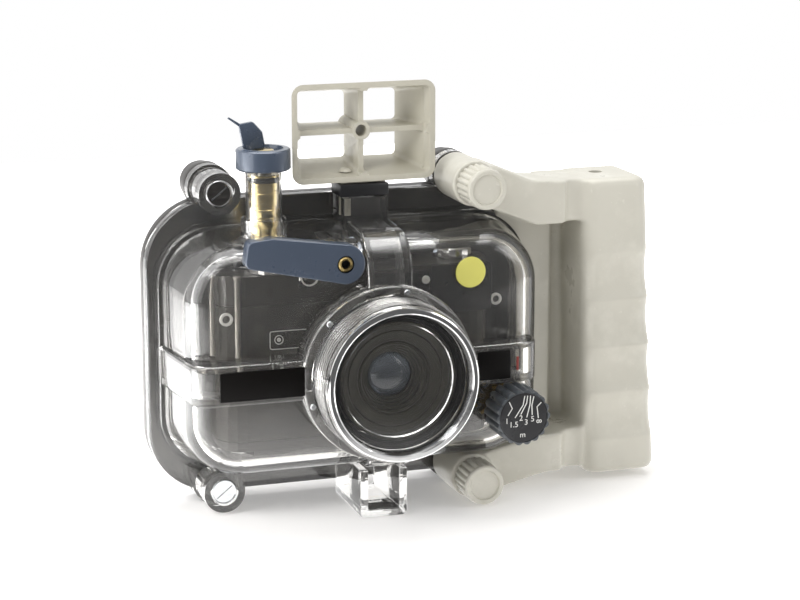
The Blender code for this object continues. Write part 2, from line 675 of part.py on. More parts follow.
def build_port():
    """Clear port barrel with its spigot, the glass on its seal, the bright rim and the black liner."""
    foot = PORT_BASE_AHEAD + CLEARANCE
    shoulder = foot + PORT_FLANGE_THICKNESS
    seat = GLASS_AHEAD - 0.0010
    seat_radius = GLASS_RADIUS + CLEARANCE
    spigot = PORT_BORE + PORT_SPIGOT_WALL
    spigot_end = PORT_BASE_AHEAD - PORT_SPIGOT_LENGTH
    profile = [
        (PORT_BARREL_RADIUS - 0.0006, PORT_FRONT), (PORT_BARREL_RADIUS, PORT_FRONT - 0.0006),
        (PORT_BARREL_RADIUS, shoulder), (PORT_FLANGE_RADIUS - 0.0008, shoulder),
        (PORT_FLANGE_RADIUS, shoulder - 0.0008), (PORT_FLANGE_RADIUS, foot), (spigot, foot),
        (spigot, spigot_end), (PORT_BORE, spigot_end), (PORT_BORE, seat), (seat_radius, seat),
        (seat_radius, PORT_FRONT),
    ]
    turned("port_barrel", profile, centre=LENS_AXIS, finish="clear", bored=True, sides=PORT_SIDES)
    ring("port_oring", GLASS_RADIUS - 0.0001, PORT_BORE + 0.0001, seat + 0.0001, GLASS_AHEAD - 0.0002,
         centre=LENS_AXIS, finish="rubber", sides=PORT_SIDES)
    cylinder("port_glass", GLASS_RADIUS, GLASS_AHEAD, GLASS_AHEAD + GLASS_THICKNESS, centre=LENS_AXIS,
             finish="glass", sides=PORT_SIDES)
    face = PORT_FRONT + CLEARANCE
    top_of_glass = GLASS_AHEAD + GLASS_THICKNESS + 0.0002
    rim = [
        (RIM_OUTER - 0.0005, RIM_AHEAD), (RIM_OUTER, RIM_AHEAD - 0.0005), (RIM_OUTER, face),
        (GLASS_RADIUS, face), (GLASS_RADIUS, top_of_glass), (RIM_INNER - 0.0008, top_of_glass),
        (RIM_INNER - 0.0004, RIM_AHEAD - 0.0007), (RIM_INNER, RIM_AHEAD),
    ]
    turned("port_rim", rim, centre=LENS_AXIS, finish="chrome", bored=True, sides=PORT_SIDES)
    ring("port_liner", PORT_BORE - CLEARANCE, PORT_BORE - CLEARANCE - LINER_WALL, 0.046, seat - 0.0002,
         centre=LENS_AXIS, finish="black", sides=PORT_SIDES)


def build_foot():
    """Clear U-shaped foot bracket whose walls follow the underside of the shell."""
    outer = rounded([(-FOOT_HALF, FOOT_TOP, 0), (-FOOT_HALF, 0.0, 0.002), (FOOT_HALF, 0.0, 0.002),
                     (FOOT_HALF, FOOT_TOP, 0), (FOOT_HALF - FOOT_WALL, FOOT_TOP, 0),
                     (FOOT_HALF - FOOT_WALL, FOOT_WALL, 0.0015),
                     (-FOOT_HALF + FOOT_WALL, FOOT_WALL, 0.0015), (-FOOT_HALF + FOOT_WALL, FOOT_TOP, 0)])
    foot = plate("foot_bracket", [outer], FOOT_AHEAD - FOOT_DEPTH, FOOT_AHEAD, finish="clear")
    carve(foot, body_block("foot_relief", CLEARANCE, PANEL_AHEAD + CLEARANCE, start=0.0))


def build_marks():
    """Bare nameplates, the yellow dot and the red index line."""
    ahead = RIDGE_AHEAD + CLEARANCE
    half = PLATE_HEIGHT / 2
    for name, (left, right) in (("nameplate_left", LEFT_PLATE), ("nameplate_right", RIGHT_PLATE)):
        box(name, (left, right), (-ahead - PLATE_THICKNESS, -ahead),
            (LENS_HEIGHT - half, LENS_HEIGHT + half), "black")
    box("index_mark", (MARK_CENTRE - 0.0008, MARK_CENTRE + 0.0008), (-ahead - 0.0006, -ahead),
        (LENS_HEIGHT - 0.003, LENS_HEIGHT + 0.003), "red")
    front = PANEL_AHEAD + CLEARANCE
    cylinder("yellow_dot", DOT_RADIUS, front, front + 0.0006, centre=DOT_CENTRE, finish="yellow")


def build_closing_screws():
    """Slotted screws in the two clear bosses on the left."""
    for suffix, axis in closures()[:2]:
        top = BOSS_AHEAD - 0.0008
        profile = [(0.0, top), (SCREW_HEAD_RADIUS - 0.0006, top), (SCREW_HEAD_RADIUS, top - 0.0006),
                   (SCREW_HEAD_RADIUS, top - SCREW_HEAD_HEIGHT), (SHANK_RADIUS, top - SCREW_HEAD_HEIGHT),
                   (SHANK_RADIUS, -REAR_DEPTH + 0.0024), (0.0, -REAR_DEPTH + 0.0018)]
        screw = turned("closing_screw_" + suffix, profile, centre=axis, finish="steel", sides=SMALL_SIDES + 2)
        slot = box("slot_" + suffix, (axis[0] - 0.004, axis[0] + 0.004), (-top - 0.001, -top + 0.0014),
                   (axis[1] - 0.0006, axis[1] + 0.0006))
        carve(screw, slot)


def build_grip_knobs():
    """Ribbed thumb knobs whose shanks clamp the grip and the two half shells."""
    for suffix, axis in closures()[2:]:
        back = KNOB_AHEAD - KNOB_LENGTH
        knob = plate("grip_knob_" + suffix, [lobed(KNOB_RADIUS, 0.0007, 16)], back, KNOB_AHEAD - 0.0012,
                     centre=axis, finish="grip")
        head = [(0.0, KNOB_AHEAD), (0.0068, KNOB_AHEAD), (0.0068, back + 0.001),
                (SHANK_RADIUS, back + 0.001), (SHANK_RADIUS, -REAR_DEPTH + 0.0024),
                (0.0, -REAR_DEPTH + 0.0018)]
        fuse(knob, turned("knob_core_" + suffix, head, centre=axis, sides=SMALL_SIDES + 2))


def handle_front(height):
    """Distance ahead of the handle's front face, waved for four fingers."""
    first = LENS_HEIGHT - FINGER_DROP - 2 * FINGER_PITCH
    last = first + 4 * FINGER_PITCH
    if not first < height < last:
        return ARM_AHEAD - 0.001
    wave = 1 - math.cos(math.tau * (height - first) / FINGER_PITCH)
    return ARM_AHEAD - 0.001 - FINGER_DEPTH * wave / 2


def build_handle():
    """Handle body: waved side outline, flared to the right as it goes down, with soft edges."""
    back = ARM_AHEAD - 0.001 - HANDLE_DEPTH
    outline = [(back, HANDLE_BOTTOM), (back, HANDLE_TOP)]
    steps = 24
    for index in range(steps + 1):
        height = HANDLE_TOP + (HANDLE_BOTTOM - HANDLE_TOP) * index / steps
        outline.append((handle_front(height), height))
    handle = plate("handle_form", [outline], HANDLE_LEFT, HANDLE_LEFT + HANDLE_WIDTH, "X")
    middle = handle.matrix_world.translation
    for vert in handle.data.vertices:
        world = handle.matrix_world @ vert.co
        if world.x > middle.x:
            down = (HANDLE_TOP - world.z) / (HANDLE_TOP - HANDLE_BOTTOM)
            world.x += HANDLE_FLARE * down
            vert.co = handle.matrix_world.inverted() @ world
    soften = handle.modifiers.new("soft_edges", "BEVEL")
    soften.width = 0.005
    soften.segments = 2
    soften.limit_method = "ANGLE"
    soften.angle_limit = math.radians(50)
    return handle


def build_grip():
    """Side grip: two arms with bosses, a web beside the housing, the recess wall and the handle."""
    top, low = CLOSURE_TOP, CLOSURE_BOTTOM
    behind = FLANGE_THICKNESS + CLEARANCE
    x = CLOSURE_RIGHT
    join = HANDLE_LEFT + 0.006
    upper = rounded([(x, top + 0.0080, 0), (x + 0.0095, top + 0.0062, 0.008), (x + 0.026, top - 0.0008, 0.02),
                     (join, top - 0.0022, 0), (join, top - 0.0190, 0),
                     (x + 0.028, top - 0.0190, 0.004), (x, top - 0.0080, 0)])
    lower = rounded([(x, low - 0.0070, 0), (x + 0.010, low - 0.0078, 0.008), (x + 0.032, low - 0.0027, 0.02),
                     (join, low - 0.0027, 0), (join, low + 0.0140, 0),
                     (x + 0.028, low + 0.0130, 0.004), (x, low + 0.0070, 0)])
    grip = cylinder("grip_handle", EAR_RADIUS, behind, GRIP_AHEAD, centre=(x, top), finish="grip")
    fuse(grip, plate("upper_arm", [upper], behind + 0.0002, ARM_AHEAD))
    fuse(grip, plate("lower_arm", [lower], behind + 0.0002, ARM_AHEAD))
    fuse(grip, cylinder("lower_boss", EAR_RADIUS, behind, GRIP_AHEAD, centre=(x, low)))
    web_top, web_low = top - 0.0030, low - 0.0022
    web_back = GRIP_BACK + 0.0002
    fuse(grip, box("recess_wall", (WEB_LEFT + 0.001, join), (-GRIP_BACK - RECESS_WALL, -web_back),
                   (web_low + 0.001, web_top - 0.001)))
    fuse(grip, box("side_web", (WEB_LEFT, WEB_LEFT + WEB_WIDTH), (-WEB_AHEAD, -GRIP_BACK),
                   (web_low, web_top)))
    fuse(grip, box("upper_end", (WEB_LEFT + 0.0005, join - 0.001), (-ARM_AHEAD + 0.0006, -web_back - 0.0001),
                   (top - 0.0187, top - 0.0026)))
    fuse(grip, box("lower_end", (WEB_LEFT + 0.0005, join - 0.001), (-ARM_AHEAD + 0.0006, -web_back - 0.0001),
                   (low - 0.0024, low + 0.0137)))
    fuse(grip, build_handle())
    carve(grip, body_block("grip_relief", 0.0008, PANEL_AHEAD + 0.001, start=-0.002))
    for suffix, axis in closures()[2:]:
        carve(grip, cylinder("grip_bore_" + suffix, SHANK_RADIUS + CLEARANCE, -0.002, 0.035, centre=axis,
                             sides=SMALL_SIDES))
    carve(grip, cylinder("lanyard_hole", 0.0028, HANDLE_TOP - 0.012, HANDLE_TOP + 0.002, "Z",
                         (HANDLE_LEFT + 0.0085, -0.008), sides=SMALL_SIDES))


def finder_block(name, left, right, bottom, top, depth_from, corner, finish=None):
    """A tapered block between the finder's front plane and its rear, by front-plane sizes."""
    def at_rear(u, v):
        half_width, half_height = FINDER_WIDTH / 2, FINDER_HEIGHT / 2
        return u * (1 - FINDER_SIDE_TAPER / half_width), v * (1 - FINDER_END_TAPER / half_height)

    rear_left, rear_bottom = at_rear(left, bottom)
    rear_right, rear_top = at_rear(right, top)
    ahead = FINDER_AHEAD + depth_from
    rear = FINDER_AHEAD - FINDER_DEPTH - depth_from
    start = (-rear, rear_left, rear_right, FINDER_AXIS + rear_bottom, FINDER_AXIS + rear_top)
    end = (-ahead, left, right, FINDER_AXIS + bottom, FINDER_AXIS + top)
    return block(name, start, end, corner, 0.0, finish, segments=3)


def build_finder():
    """Sports finder: tapered frame with a recessed cross and a sight tube, on its shoe."""
    half_width, half_height = FINDER_WIDTH / 2, FINDER_HEIGHT / 2
    finder = finder_block("finder_frame", -half_width, half_width, -half_height, half_height, 0.0,
                          FINDER_CORNER, "grip")
    foot_top = FINDER_AXIS - half_height + 0.003
    fuse(finder, box("finder_foot", (-0.009, 0.009), (-0.0165, -0.0075),
                     (SHOE_TOP + CLEARANCE, foot_top)))
    inner_width, inner_height = half_width - FINDER_WALL, half_height - FINDER_WALL
    half_cross = CROSS_THICKNESS / 2
    cells = [(-inner_width, -half_cross, -inner_height, -half_cross),
             (half_cross, inner_width, -inner_height, -half_cross),
             (-inner_width, -half_cross, half_cross, inner_height),
             (half_cross, inner_width, half_cross, inner_height)]
    for index, cell in enumerate(cells):
        carve(finder, finder_block("finder_cell_%d" % (index + 1), *cell, 0.0002, 0.0015))
    recess = box("cross_recess", (-inner_width + 0.0012, inner_width - 0.0012),
                 (-FINDER_AHEAD - 0.001, -FINDER_AHEAD + CROSS_RECESS),
                 (FINDER_AXIS - inner_height + 0.0012, FINDER_AXIS + inner_height - 0.0012))
    carve(finder, recess)
    axis = (0.0, FINDER_AXIS)
    rear = FINDER_AHEAD - FINDER_DEPTH
    fuse(finder, cylinder("sight_tube", SIGHT_RADIUS, rear + 0.001, FINDER_AHEAD - CROSS_RECESS + 0.0006,
                          centre=axis))
    carve(finder, cylinder("sight_bore", SIGHT_BORE, rear - 0.005, FINDER_AHEAD + 0.005, centre=axis))
    screw_axis = (-0.006, -0.012)
    behind = (FINDER_AHEAD + screw_axis[1]) / FINDER_DEPTH
    floor = FINDER_AXIS - inner_height * (1 - behind * FINDER_END_TAPER / half_height)
    carve(finder, cylinder("finder_screw_hole", 0.0016, PEDESTAL_TOP - 0.004, PEDESTAL_TOP + 0.016, "Z",
                           screw_axis, sides=SMALL_SIDES))
    shoe = box("finder_shoe", (-SHOE_WIDTH / 2, SHOE_WIDTH / 2), (-0.0185, -0.0055),
               (PEDESTAL_TOP + CLEARANCE, SHOE_TOP), "black")
    carve(shoe, cylinder("shoe_screw_hole", 0.0016, PEDESTAL_TOP - 0.004, PEDESTAL_TOP + 0.016, "Z",
                         screw_axis, sides=SMALL_SIDES))
    head = floor + CLEARANCE
    profile = [(0.0, head + 0.0014), (0.0018, head + 0.0012), (0.0027, head), (0.0013, head),
               (0.0013, PEDESTAL_TOP - 0.0076), (0.0, PEDESTAL_TOP - 0.0076)]
    turned("finder_screw", profile, "Z", screw_axis, "steel", sides=SMALL_SIDES)
    carve(finder, cylinder("finder_screw_seat", 0.0031, head - 0.0003, head + 0.004, "Z", screw_axis,
                           sides=SMALL_SIDES))


def build_film_advance():
    """Brass gland in its clear sleeve, shaft, blue lever with a tab, and the forked driver inside."""
    waist = WIND_GLAND_RADIUS - WIND_GROOVE_DEPTH
    groove_low = WIND_GROOVE_TOP - WIND_GROOVE_HEIGHT
    inner_end = INSIDE_TOP - 0.0023
    gland = [(WIND_GLAND_RADIUS, WIND_GLAND_TOP), (WIND_GLAND_RADIUS, WIND_GROOVE_TOP),
             (waist, WIND_GROOVE_TOP), (waist, groove_low), (WIND_GLAND_RADIUS, groove_low),
             (WIND_GLAND_RADIUS, inner_end), (WIND_SHAFT_RADIUS + CLEARANCE, inner_end),
             (WIND_SHAFT_RADIUS + CLEARANCE, WIND_GLAND_TOP)]
    turned("wind_gland", gland, "Z", WIND_AXIS, "brass", bored=True)
    ring("wind_oring", WIND_GLAND_RADIUS + 0.0001, waist + 0.0001, groove_low + 0.0001,
         WIND_GROOVE_TOP - 0.0001, "Z", WIND_AXIS, "rubber")
    cap_top = WIND_CAP_BOTTOM + WIND_CAP_HEIGHT
    hub_top = cap_top - 0.0028
    shaft_top = hub_top - 0.0004
    shaft = cylinder("wind_shaft", WIND_SHAFT_RADIUS, CAMERA_TOP + 0.0056, shaft_top, "Z", WIND_AXIS, "steel")
    carve(shaft, cylinder("wind_screw_hole", 0.0016, shaft_top - 0.008, shaft_top + 0.001, "Z", WIND_AXIS,
                          sides=SMALL_SIDES))
    cap = [(WIND_CAP_RADIUS - 0.0006, cap_top), (WIND_CAP_RADIUS, cap_top - 0.0006),
           (WIND_CAP_RADIUS, WIND_CAP_BOTTOM), (WIND_SHAFT_RADIUS + CLEARANCE, WIND_CAP_BOTTOM),
           (WIND_SHAFT_RADIUS + CLEARANCE, hub_top), (0.0074, hub_top), (0.0078, cap_top)]
    lever = turned("wind_lever", cap, "Z", WIND_AXIS, "blue", bored=True)
    tab = rounded([(0.0025, WIND_CAP_BOTTOM + 0.002, 0), (0.0105, WIND_CAP_BOTTOM + 0.002, 0),
                   (0.0105, cap_top, 0), (0.0125, cap_top + WIND_TAB_HEIGHT, 0.0015),
                   (0.0035, cap_top + WIND_TAB_HEIGHT, 0.003), (-0.0005, cap_top, 0),
                   (-0.0005, cap_top - 0.0012, 0)])
    tab_x, tab_y = polar(0.0090, 115.0, WIND_AXIS)
    outline = [(tab_x + 0.0060 - u, v) for u, v in tab]
    fuse(lever, plate("wind_tab", [outline], -tab_y - 0.0011, -tab_y + 0.0011))
    profile = [(0.0, hub_top + 0.0022), (0.0040, hub_top + 0.0022), (0.0046, hub_top + 0.0016),
               (0.0046, hub_top + 0.0002), (0.0012, hub_top + 0.0002), (0.0012, shaft_top - 0.0070),
               (0.0, shaft_top - 0.0070)]
    turned("wind_lever_screw", profile, "Z", WIND_AXIS, "brass")
    build_wind_driver()


def build_wind_driver():
    """Arm on the shaft with two prongs that straddle the camera's own lever."""
    low = CAMERA_TOP + 0.0050
    driver = cylinder("wind_driver", 0.0055, low, low + 0.0045, "Z", WIND_AXIS, "black")
    arm = rounded([(0.0, -0.0045, 0), (0.0138, -0.0050, 0.001), (0.0138, 0.0050, 0.001), (0.0, 0.0045, 0)])
    arm_tool = plate("driver_arm", [arm], low + 0.0002, low + 0.0022, "Z", WIND_AXIS)
    prongs = []
    for index, middle in enumerate((-0.0042, 0.0042)):
        outline = rounded_rectangle(0.0102, 0.0135, middle - 0.0008, middle + 0.0008, 0.0004, 1)
        prongs.append(plate("driver_prong_%d" % (index + 1), [outline], CAMERA_TOP + 0.0012, low + 0.0010,
                            "Z", WIND_AXIS))
    turn = Matrix.Rotation(math.radians(WIND_REST_ANGLE), 4, "Z")
    for tool in (arm_tool, *prongs):
        place = tool.matrix_world.translation.copy()
        tool.matrix_world = Matrix.Translation(place) @ turn
        fuse(driver, tool)
    carve(driver, cylinder("driver_socket", WIND_SHAFT_RADIUS + CLEARANCE, CAMERA_TOP + 0.0053,
                           low + 0.010, "Z", WIND_AXIS))


def build_shutter_release():
    """Blue lever on its brass gland, the shaft through the shell, and the crank and spring inside."""
    gland_face = SHUTTER_BOSS_AHEAD + CLEARANCE
    gland_top, inner_end = SHUTTER_GLAND_TOP, INSIDE_AHEAD - 0.002
    bore = SHUTTER_SHAFT_RADIUS + CLEARANCE
    gland = [(0.0062, gland_top), (0.0062, gland_face), (GLAND_RADIUS, gland_face), (GLAND_RADIUS, inner_end),
             (bore, inner_end), (bore, gland_top)]
    turned("shutter_gland", gland, centre=SHUTTER_AXIS, finish="brass", bored=True)
    ring("shutter_oring", 0.0046, bore, gland_top + 0.0002, LEVER_BACK - CLEARANCE, centre=SHUTTER_AXIS,
         finish="rubber")
    shaft_front = LEVER_AHEAD - 0.0036
    shaft = cylinder("shutter_shaft", SHUTTER_SHAFT_RADIUS, WIND_AHEAD + 0.0015, shaft_front,
                     centre=SHUTTER_AXIS, finish="steel")
    carve(shaft, cylinder("shutter_screw_hole", 0.0013, shaft_front - 0.008, shaft_front + 0.001,
                          centre=SHUTTER_AXIS, sides=SMALL_SIDES))
    outline = rounded([(-LEVER_LENGTH, -LEVER_END_HALF, 0.0025), (0.0, -LEVER_PIVOT_RADIUS + 0.0004, 0),
                       (0.0, LEVER_PIVOT_RADIUS - 0.0004, 0),
                       (-LEVER_LENGTH + 0.009, LEVER_END_HALF + 0.0022, 0),
                       (-LEVER_LENGTH, LEVER_END_HALF, 0.0025)])
    turn = Matrix.Rotation(math.radians(-LEVER_TILT), 2)
    outline = [tuple(turn @ Vector(point)) for point in outline]
    lever = cylinder("shutter_lever", LEVER_PIVOT_RADIUS, LEVER_BACK, LEVER_AHEAD, centre=SHUTTER_AXIS,
                     finish="blue")
    fuse(lever, plate("lever_arm", [outline], LEVER_BACK + 0.0001, LEVER_AHEAD - 0.0002, centre=SHUTTER_AXIS))
    carve(lever, cylinder("lever_bore", bore, LEVER_BACK - 0.002, shaft_front + 0.0002, centre=SHUTTER_AXIS,
                          sides=SIDES))
    carve(lever, cylinder("lever_head_bore", 0.0033, shaft_front, LEVER_AHEAD + 0.003, centre=SHUTTER_AXIS,
                          sides=SIDES))
    head = LEVER_AHEAD + 0.0004
    profile = [(0.0, head), (0.0026, head), (0.0030, head - 0.0004), (0.0030, shaft_front + 0.0003),
               (0.0010, shaft_front + 0.0003), (0.0010, shaft_front - 0.007), (0.0, shaft_front - 0.007)]
    turned("shutter_lever_screw", profile, centre=SHUTTER_AXIS, finish="brass")
    build_shutter_crank(bore)


def build_shutter_crank(bore):
    """Crank whose nose sits over the camera's release button, and its return spring."""
    reach = BUTTON_X - SHUTTER_X
    nose = BUTTON_TOP + CLEARANCE - SHUTTER_HEIGHT
    outline = rounded([(0.0, CRANK_RADIUS - 0.0018, 0), (reach - CRANK_NOSE, nose + 0.0040, 0.001),
                       (reach - CRANK_NOSE, nose, 0.0008), (reach + CRANK_NOSE, nose, 0.0008),
                       (0.0, -CRANK_RADIUS + 0.0001, 0)])
    back = WIND_AHEAD + 0.0020
    crank = cylinder("shutter_crank", CRANK_RADIUS, back, back + 0.006, centre=SHUTTER_AXIS, finish="steel")
    fuse(crank, plate("crank_arm", [outline], back + 0.0001, back + 0.0040, centre=SHUTTER_AXIS))
    carve(crank, cylinder("crank_bore", bore, back - 0.010, back + 0.015, centre=SHUTTER_AXIS))
    spring_low, spring_high = back + 0.0066, INSIDE_AHEAD - 0.0026
    turns, per_turn, coil = 2.0, 10, CRANK_RADIUS - 0.0004
    curve = bpy.data.curves.new("shutter_spring", "CURVE")
    curve.dimensions = "3D"
    curve.bevel_depth = 0.00038
    curve.bevel_resolution = 0
    curve.use_fill_caps = True
    spline = curve.splines.new("POLY")
    count = int(turns * per_turn) + 1
    spline.points.add(count - 1)
    for index, point in enumerate(spline.points):
        angle = math.tau * index / per_turn
        share = index / (count - 1)
        along = spring_low + 0.0004 + (spring_high - spring_low - 0.0008) * share
        point.co = (coil * math.cos(angle), coil * math.sin(angle), along, 1.0)
    spring = bpy.data.objects.new("shutter_spring", curve)
    spring.matrix_world = frame("Y", SHUTTER_AXIS)
    curve.materials.append(finish_material("shutter_spring", "steel"))
    PARTS.objects.link(spring)


def build_focus_drive():
    """Ribbed knob with its dial, gland and shaft, and the gears that turn the lens ring."""
    axis = focus_axis()
    bore = FOCUS_SHAFT_RADIUS + CLEARANCE
    face = FOCUS_BOSS_AHEAD + CLEARANCE
    gland_top, inner_end = face + 0.0015, INSIDE_AHEAD - 0.0018
    gland = [(0.0065, gland_top), (0.0065, face), (GLAND_RADIUS, face), (GLAND_RADIUS, inner_end),
             (bore, inner_end), (bore, gland_top)]
    turned("focus_gland", gland, centre=axis, finish="brass", bored=True)
    knob_back = gland_top + 0.0004
    knob_front = knob_back + FOCUS_KNOB_LENGTH
    knob = plate("focus_knob", [lobed(FOCUS_KNOB_RADIUS, 0.0009, 18)], knob_back, knob_front,
                 centre=axis, finish="black")
    dial_seat = knob_front - 0.0009
    carve(knob, cylinder("dial_seat", FOCUS_DIAL_RADIUS + 0.0002, dial_seat, knob_front + 0.003,
                         centre=axis))
    shaft_front = dial_seat - 0.004
    carve(knob, cylinder("knob_bore", bore, knob_back - 0.002, shaft_front + CLEARANCE, centre=axis))
    cylinder("focus_dial", FOCUS_DIAL_RADIUS, dial_seat + CLEARANCE, knob_front, centre=axis,
             finish="black")
    cylinder("focus_shaft", FOCUS_SHAFT_RADIUS, GEAR_BACK - 0.0005, shaft_front, centre=axis, finish="steel")
    front = GEAR_BACK + GEAR_THICKNESS
    angle = drive_angle()
    pinion = gear_outline(PINION_TEETH, angle + 180.0 + 180.0 / PINION_TEETH)
    plate("focus_pinion", [pinion, circle(bore)], GEAR_BACK, front, centre=axis, finish="brass")
    idler = [gear_outline(IDLER_TEETH, angle), circle(PIN_RADIUS + CLEARANCE)]
    plate("focus_idler", idler, GEAR_BACK, front, centre=idler_axis(), finish="brass")
    pin_front = PANEL_AHEAD - 0.0015
    pin = [(0.0, pin_front), (PIN_RADIUS, pin_front), (PIN_RADIUS, GEAR_BACK - CLEARANCE),
           (0.0032, GEAR_BACK - CLEARANCE), (0.0032, GEAR_BACK - 0.0010), (0.0, GEAR_BACK - 0.0010)]
    turned("focus_idler_pin", pin, centre=idler_axis(), finish="steel", sides=SMALL_SIDES)


def build_camera_lens():
    """Lens of the camera: fixed barrel, geared focus ring, front ring and front element."""
    base = CAMERA_AHEAD + CLEARANCE
    cylinder("lens_barrel", LENS_RADIUS, base, LENS_SPLIT, centre=LENS_AXIS, finish="black", sides=PORT_SIDES)
    front = GEAR_BACK + GEAR_THICKNESS
    inner = LENS_RADIUS + CLEARANCE
    outlines = [gear_outline(RING_TEETH, drive_angle()), circle(inner, sides=PORT_SIDES)]
    gear = plate("lens_focus_ring", outlines, GEAR_BACK, front, centre=LENS_AXIS, finish="black")
    fuse(gear, ring("ring_collar", inner + 0.0016, inner, front - 0.001, LENS_SPLIT - 0.0004,
                    centre=LENS_AXIS, sides=PORT_SIDES))
    tip, back = LENS_AHEAD, LENS_SPLIT + 2 * CLEARANCE
    outer, opening, floor = LENS_RADIUS - CLEARANCE, APERTURE_RADIUS, LENS_AHEAD - 0.011
    profile = [
        (0.0, floor), (opening, floor), (opening, tip - 0.0068), (opening + 0.0012, tip - 0.0062),
        (outer - 0.0042, tip - 0.0030), (outer - 0.0022, tip - 0.0028), (outer - 0.0015, tip),
        (outer - 0.0005, tip), (outer, tip - 0.0005), (outer, back), (0.0, back),
    ]
    turned("lens_front_ring", profile, centre=LENS_AXIS, finish="chrome", sides=PORT_SIDES)
    edge, low = opening - 0.0004, floor + 0.0004
    glass = [(0.0, tip - 0.0052), (0.0035, tip - 0.0055), (0.0070, tip - 0.0063), (edge, tip - 0.0076),
             (edge, low), (0.0, low)]
    turned("lens_glass", glass, centre=LENS_AXIS, finish="glass")


def build_camera():
    """Camera body, covers, back door, window and its own controls."""
    right = CAMERA_RIGHT
    back = CAMERA_AHEAD - CAMERA_BODY_DEPTH
    footprint = rounded([(CAMERA_LEFT, -back, 0.004), (CAMERA_LEFT, -CAMERA_AHEAD, CAMERA_CORNER),
                         (right, -CAMERA_AHEAD, CAMERA_CORNER), (right, -back, 0.004)])
    low = CAMERA_BASE + BOTTOM_COVER_HEIGHT
    high = CAMERA_TOP - TOP_COVER_HEIGHT
    plate("camera_bottom_cover", [footprint], CAMERA_BASE, low, "Z", finish="chrome")
    plate("camera_body", [footprint], low + CLEARANCE, high - CLEARANCE, "Z", finish="black")
    top = plate("camera_top_cover", [footprint], high, CAMERA_TOP, "Z", finish="black")
    button_axis = (BUTTON_X, -WIND_AHEAD - 0.004)
    carve(top, cylinder("button_well", BUTTON_RADIUS + CLEARANCE, BUTTON_TOP - 0.0092,
                        CAMERA_TOP + 0.002, "Z", button_axis))
    cylinder("camera_shutter_button", BUTTON_RADIUS, BUTTON_TOP - 0.0063, BUTTON_TOP, "Z", button_axis,
             "chrome")
    door = rounded_rectangle(CAMERA_LEFT + 0.002, right - 0.002, low + 0.001, high - 0.001, 0.004, 3)
    plate("camera_back_door", [door], back - CLEARANCE - CAMERA_DOOR, back - CLEARANCE, finish="black")
    window_left = CAMERA_LEFT + VIEW_WINDOW_INSET
    box("camera_window", (window_left, window_left + VIEW_WINDOW_WIDTH),
        (-CAMERA_AHEAD - 0.0011, -CAMERA_AHEAD - CLEARANCE),
        (high + 0.0014, CAMERA_TOP - 0.0016), "glass")
    knob = [(0.0, CAMERA_TOP + 0.0052), (0.0072, CAMERA_TOP + 0.0052), (0.0080, CAMERA_TOP + 0.0044),
            (0.0080, CAMERA_TOP + CLEARANCE), (0.0, CAMERA_TOP + CLEARANCE)]
    x, y = right - 0.013, 0.012 - CAMERA_AHEAD
    rewind = turned("rewind_knob", knob, "Z", (x, y), "chrome")
    carve(rewind, box("crank_slot", (x - 0.0055, x + 0.0055), (y - 0.0012, y + 0.0012),
                      (CAMERA_TOP + 0.0042, CAMERA_TOP + 0.0065)))
    build_camera_wind_lever()
    build_cradle()


def build_camera_wind_lever():
    """The camera's own film lever, under the driver."""
    low = CAMERA_TOP + CLEARANCE
    lever = cylinder("camera_wind_lever", 0.0068, low, low + 0.0030, "Z", WIND_AXIS, "chrome")
    arm = rounded([(0.0, -0.0030, 0), (0.0160, -0.0030, 0.001), (0.0160, 0.0030, 0.001), (0.0, 0.0030, 0)])
    tool = plate("camera_lever_arm", [arm], low + 0.0004, low + 0.0024, "Z", WIND_AXIS)
    place = tool.matrix_world.translation.copy()
    tool.matrix_world = Matrix.Translation(place) @ Matrix.Rotation(math.radians(WIND_REST_ANGLE), 4, "Z")
    fuse(lever, tool)


def build_cradle():
    """Dark cradle that carries the camera on the floor of the shell."""
    left, right = CAMERA_LEFT + 0.013, CAMERA_RIGHT - 0.013
    cradle = box("camera_cradle", (left, right), (0.0025 - CAMERA_AHEAD, -0.0030),
                 (BODY_BOTTOM - 0.0045, CAMERA_BASE - CLEARANCE), "dark")
    inner = body_block("cradle_fit", -WALL - CLEARANCE, INSIDE_AHEAD - CLEARANCE, start=-0.001)
    combine(cradle, "INTERSECT", [inner])
    carve(cradle, box("cradle_gap", (left + 0.018, right - 0.018), (-CAMERA_AHEAD - 0.005, 0.005),
                      (BODY_BOTTOM - 0.0065, CAMERA_BASE - 0.0026)))


def move_origin():
    """Put the origin under the middle of the foot bracket."""
    shift = FOOT_AHEAD - FOOT_DEPTH / 2
    for item in list(PARTS.objects) + list(CUTTERS.objects):
        item.location.y += shift


def build_all():
    """Build every piece of the housing and of the camera in it."""
    build_front_shell()
    build_rear_cover()
    build_seals_and_window()
    build_port()
    build_foot()
    build_marks()
    build_closing_screws()
    build_grip_knobs()
    build_grip()
    build_finder()
    build_film_advance()
    build_shutter_release()
    build_focus_drive()
    build_camera_lens()
    build_camera()
    move_origin()


build_all()
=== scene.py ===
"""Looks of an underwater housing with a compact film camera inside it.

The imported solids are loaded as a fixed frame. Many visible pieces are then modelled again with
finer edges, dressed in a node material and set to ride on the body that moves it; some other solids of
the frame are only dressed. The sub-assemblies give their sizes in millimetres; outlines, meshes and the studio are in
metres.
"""

import json
import logging
import math
from dataclasses import dataclass, field
from enum import Enum
from typing import Callable, Iterable, Optional, Sequence

import bmesh
import bpy
from mathutils import Matrix, Vector

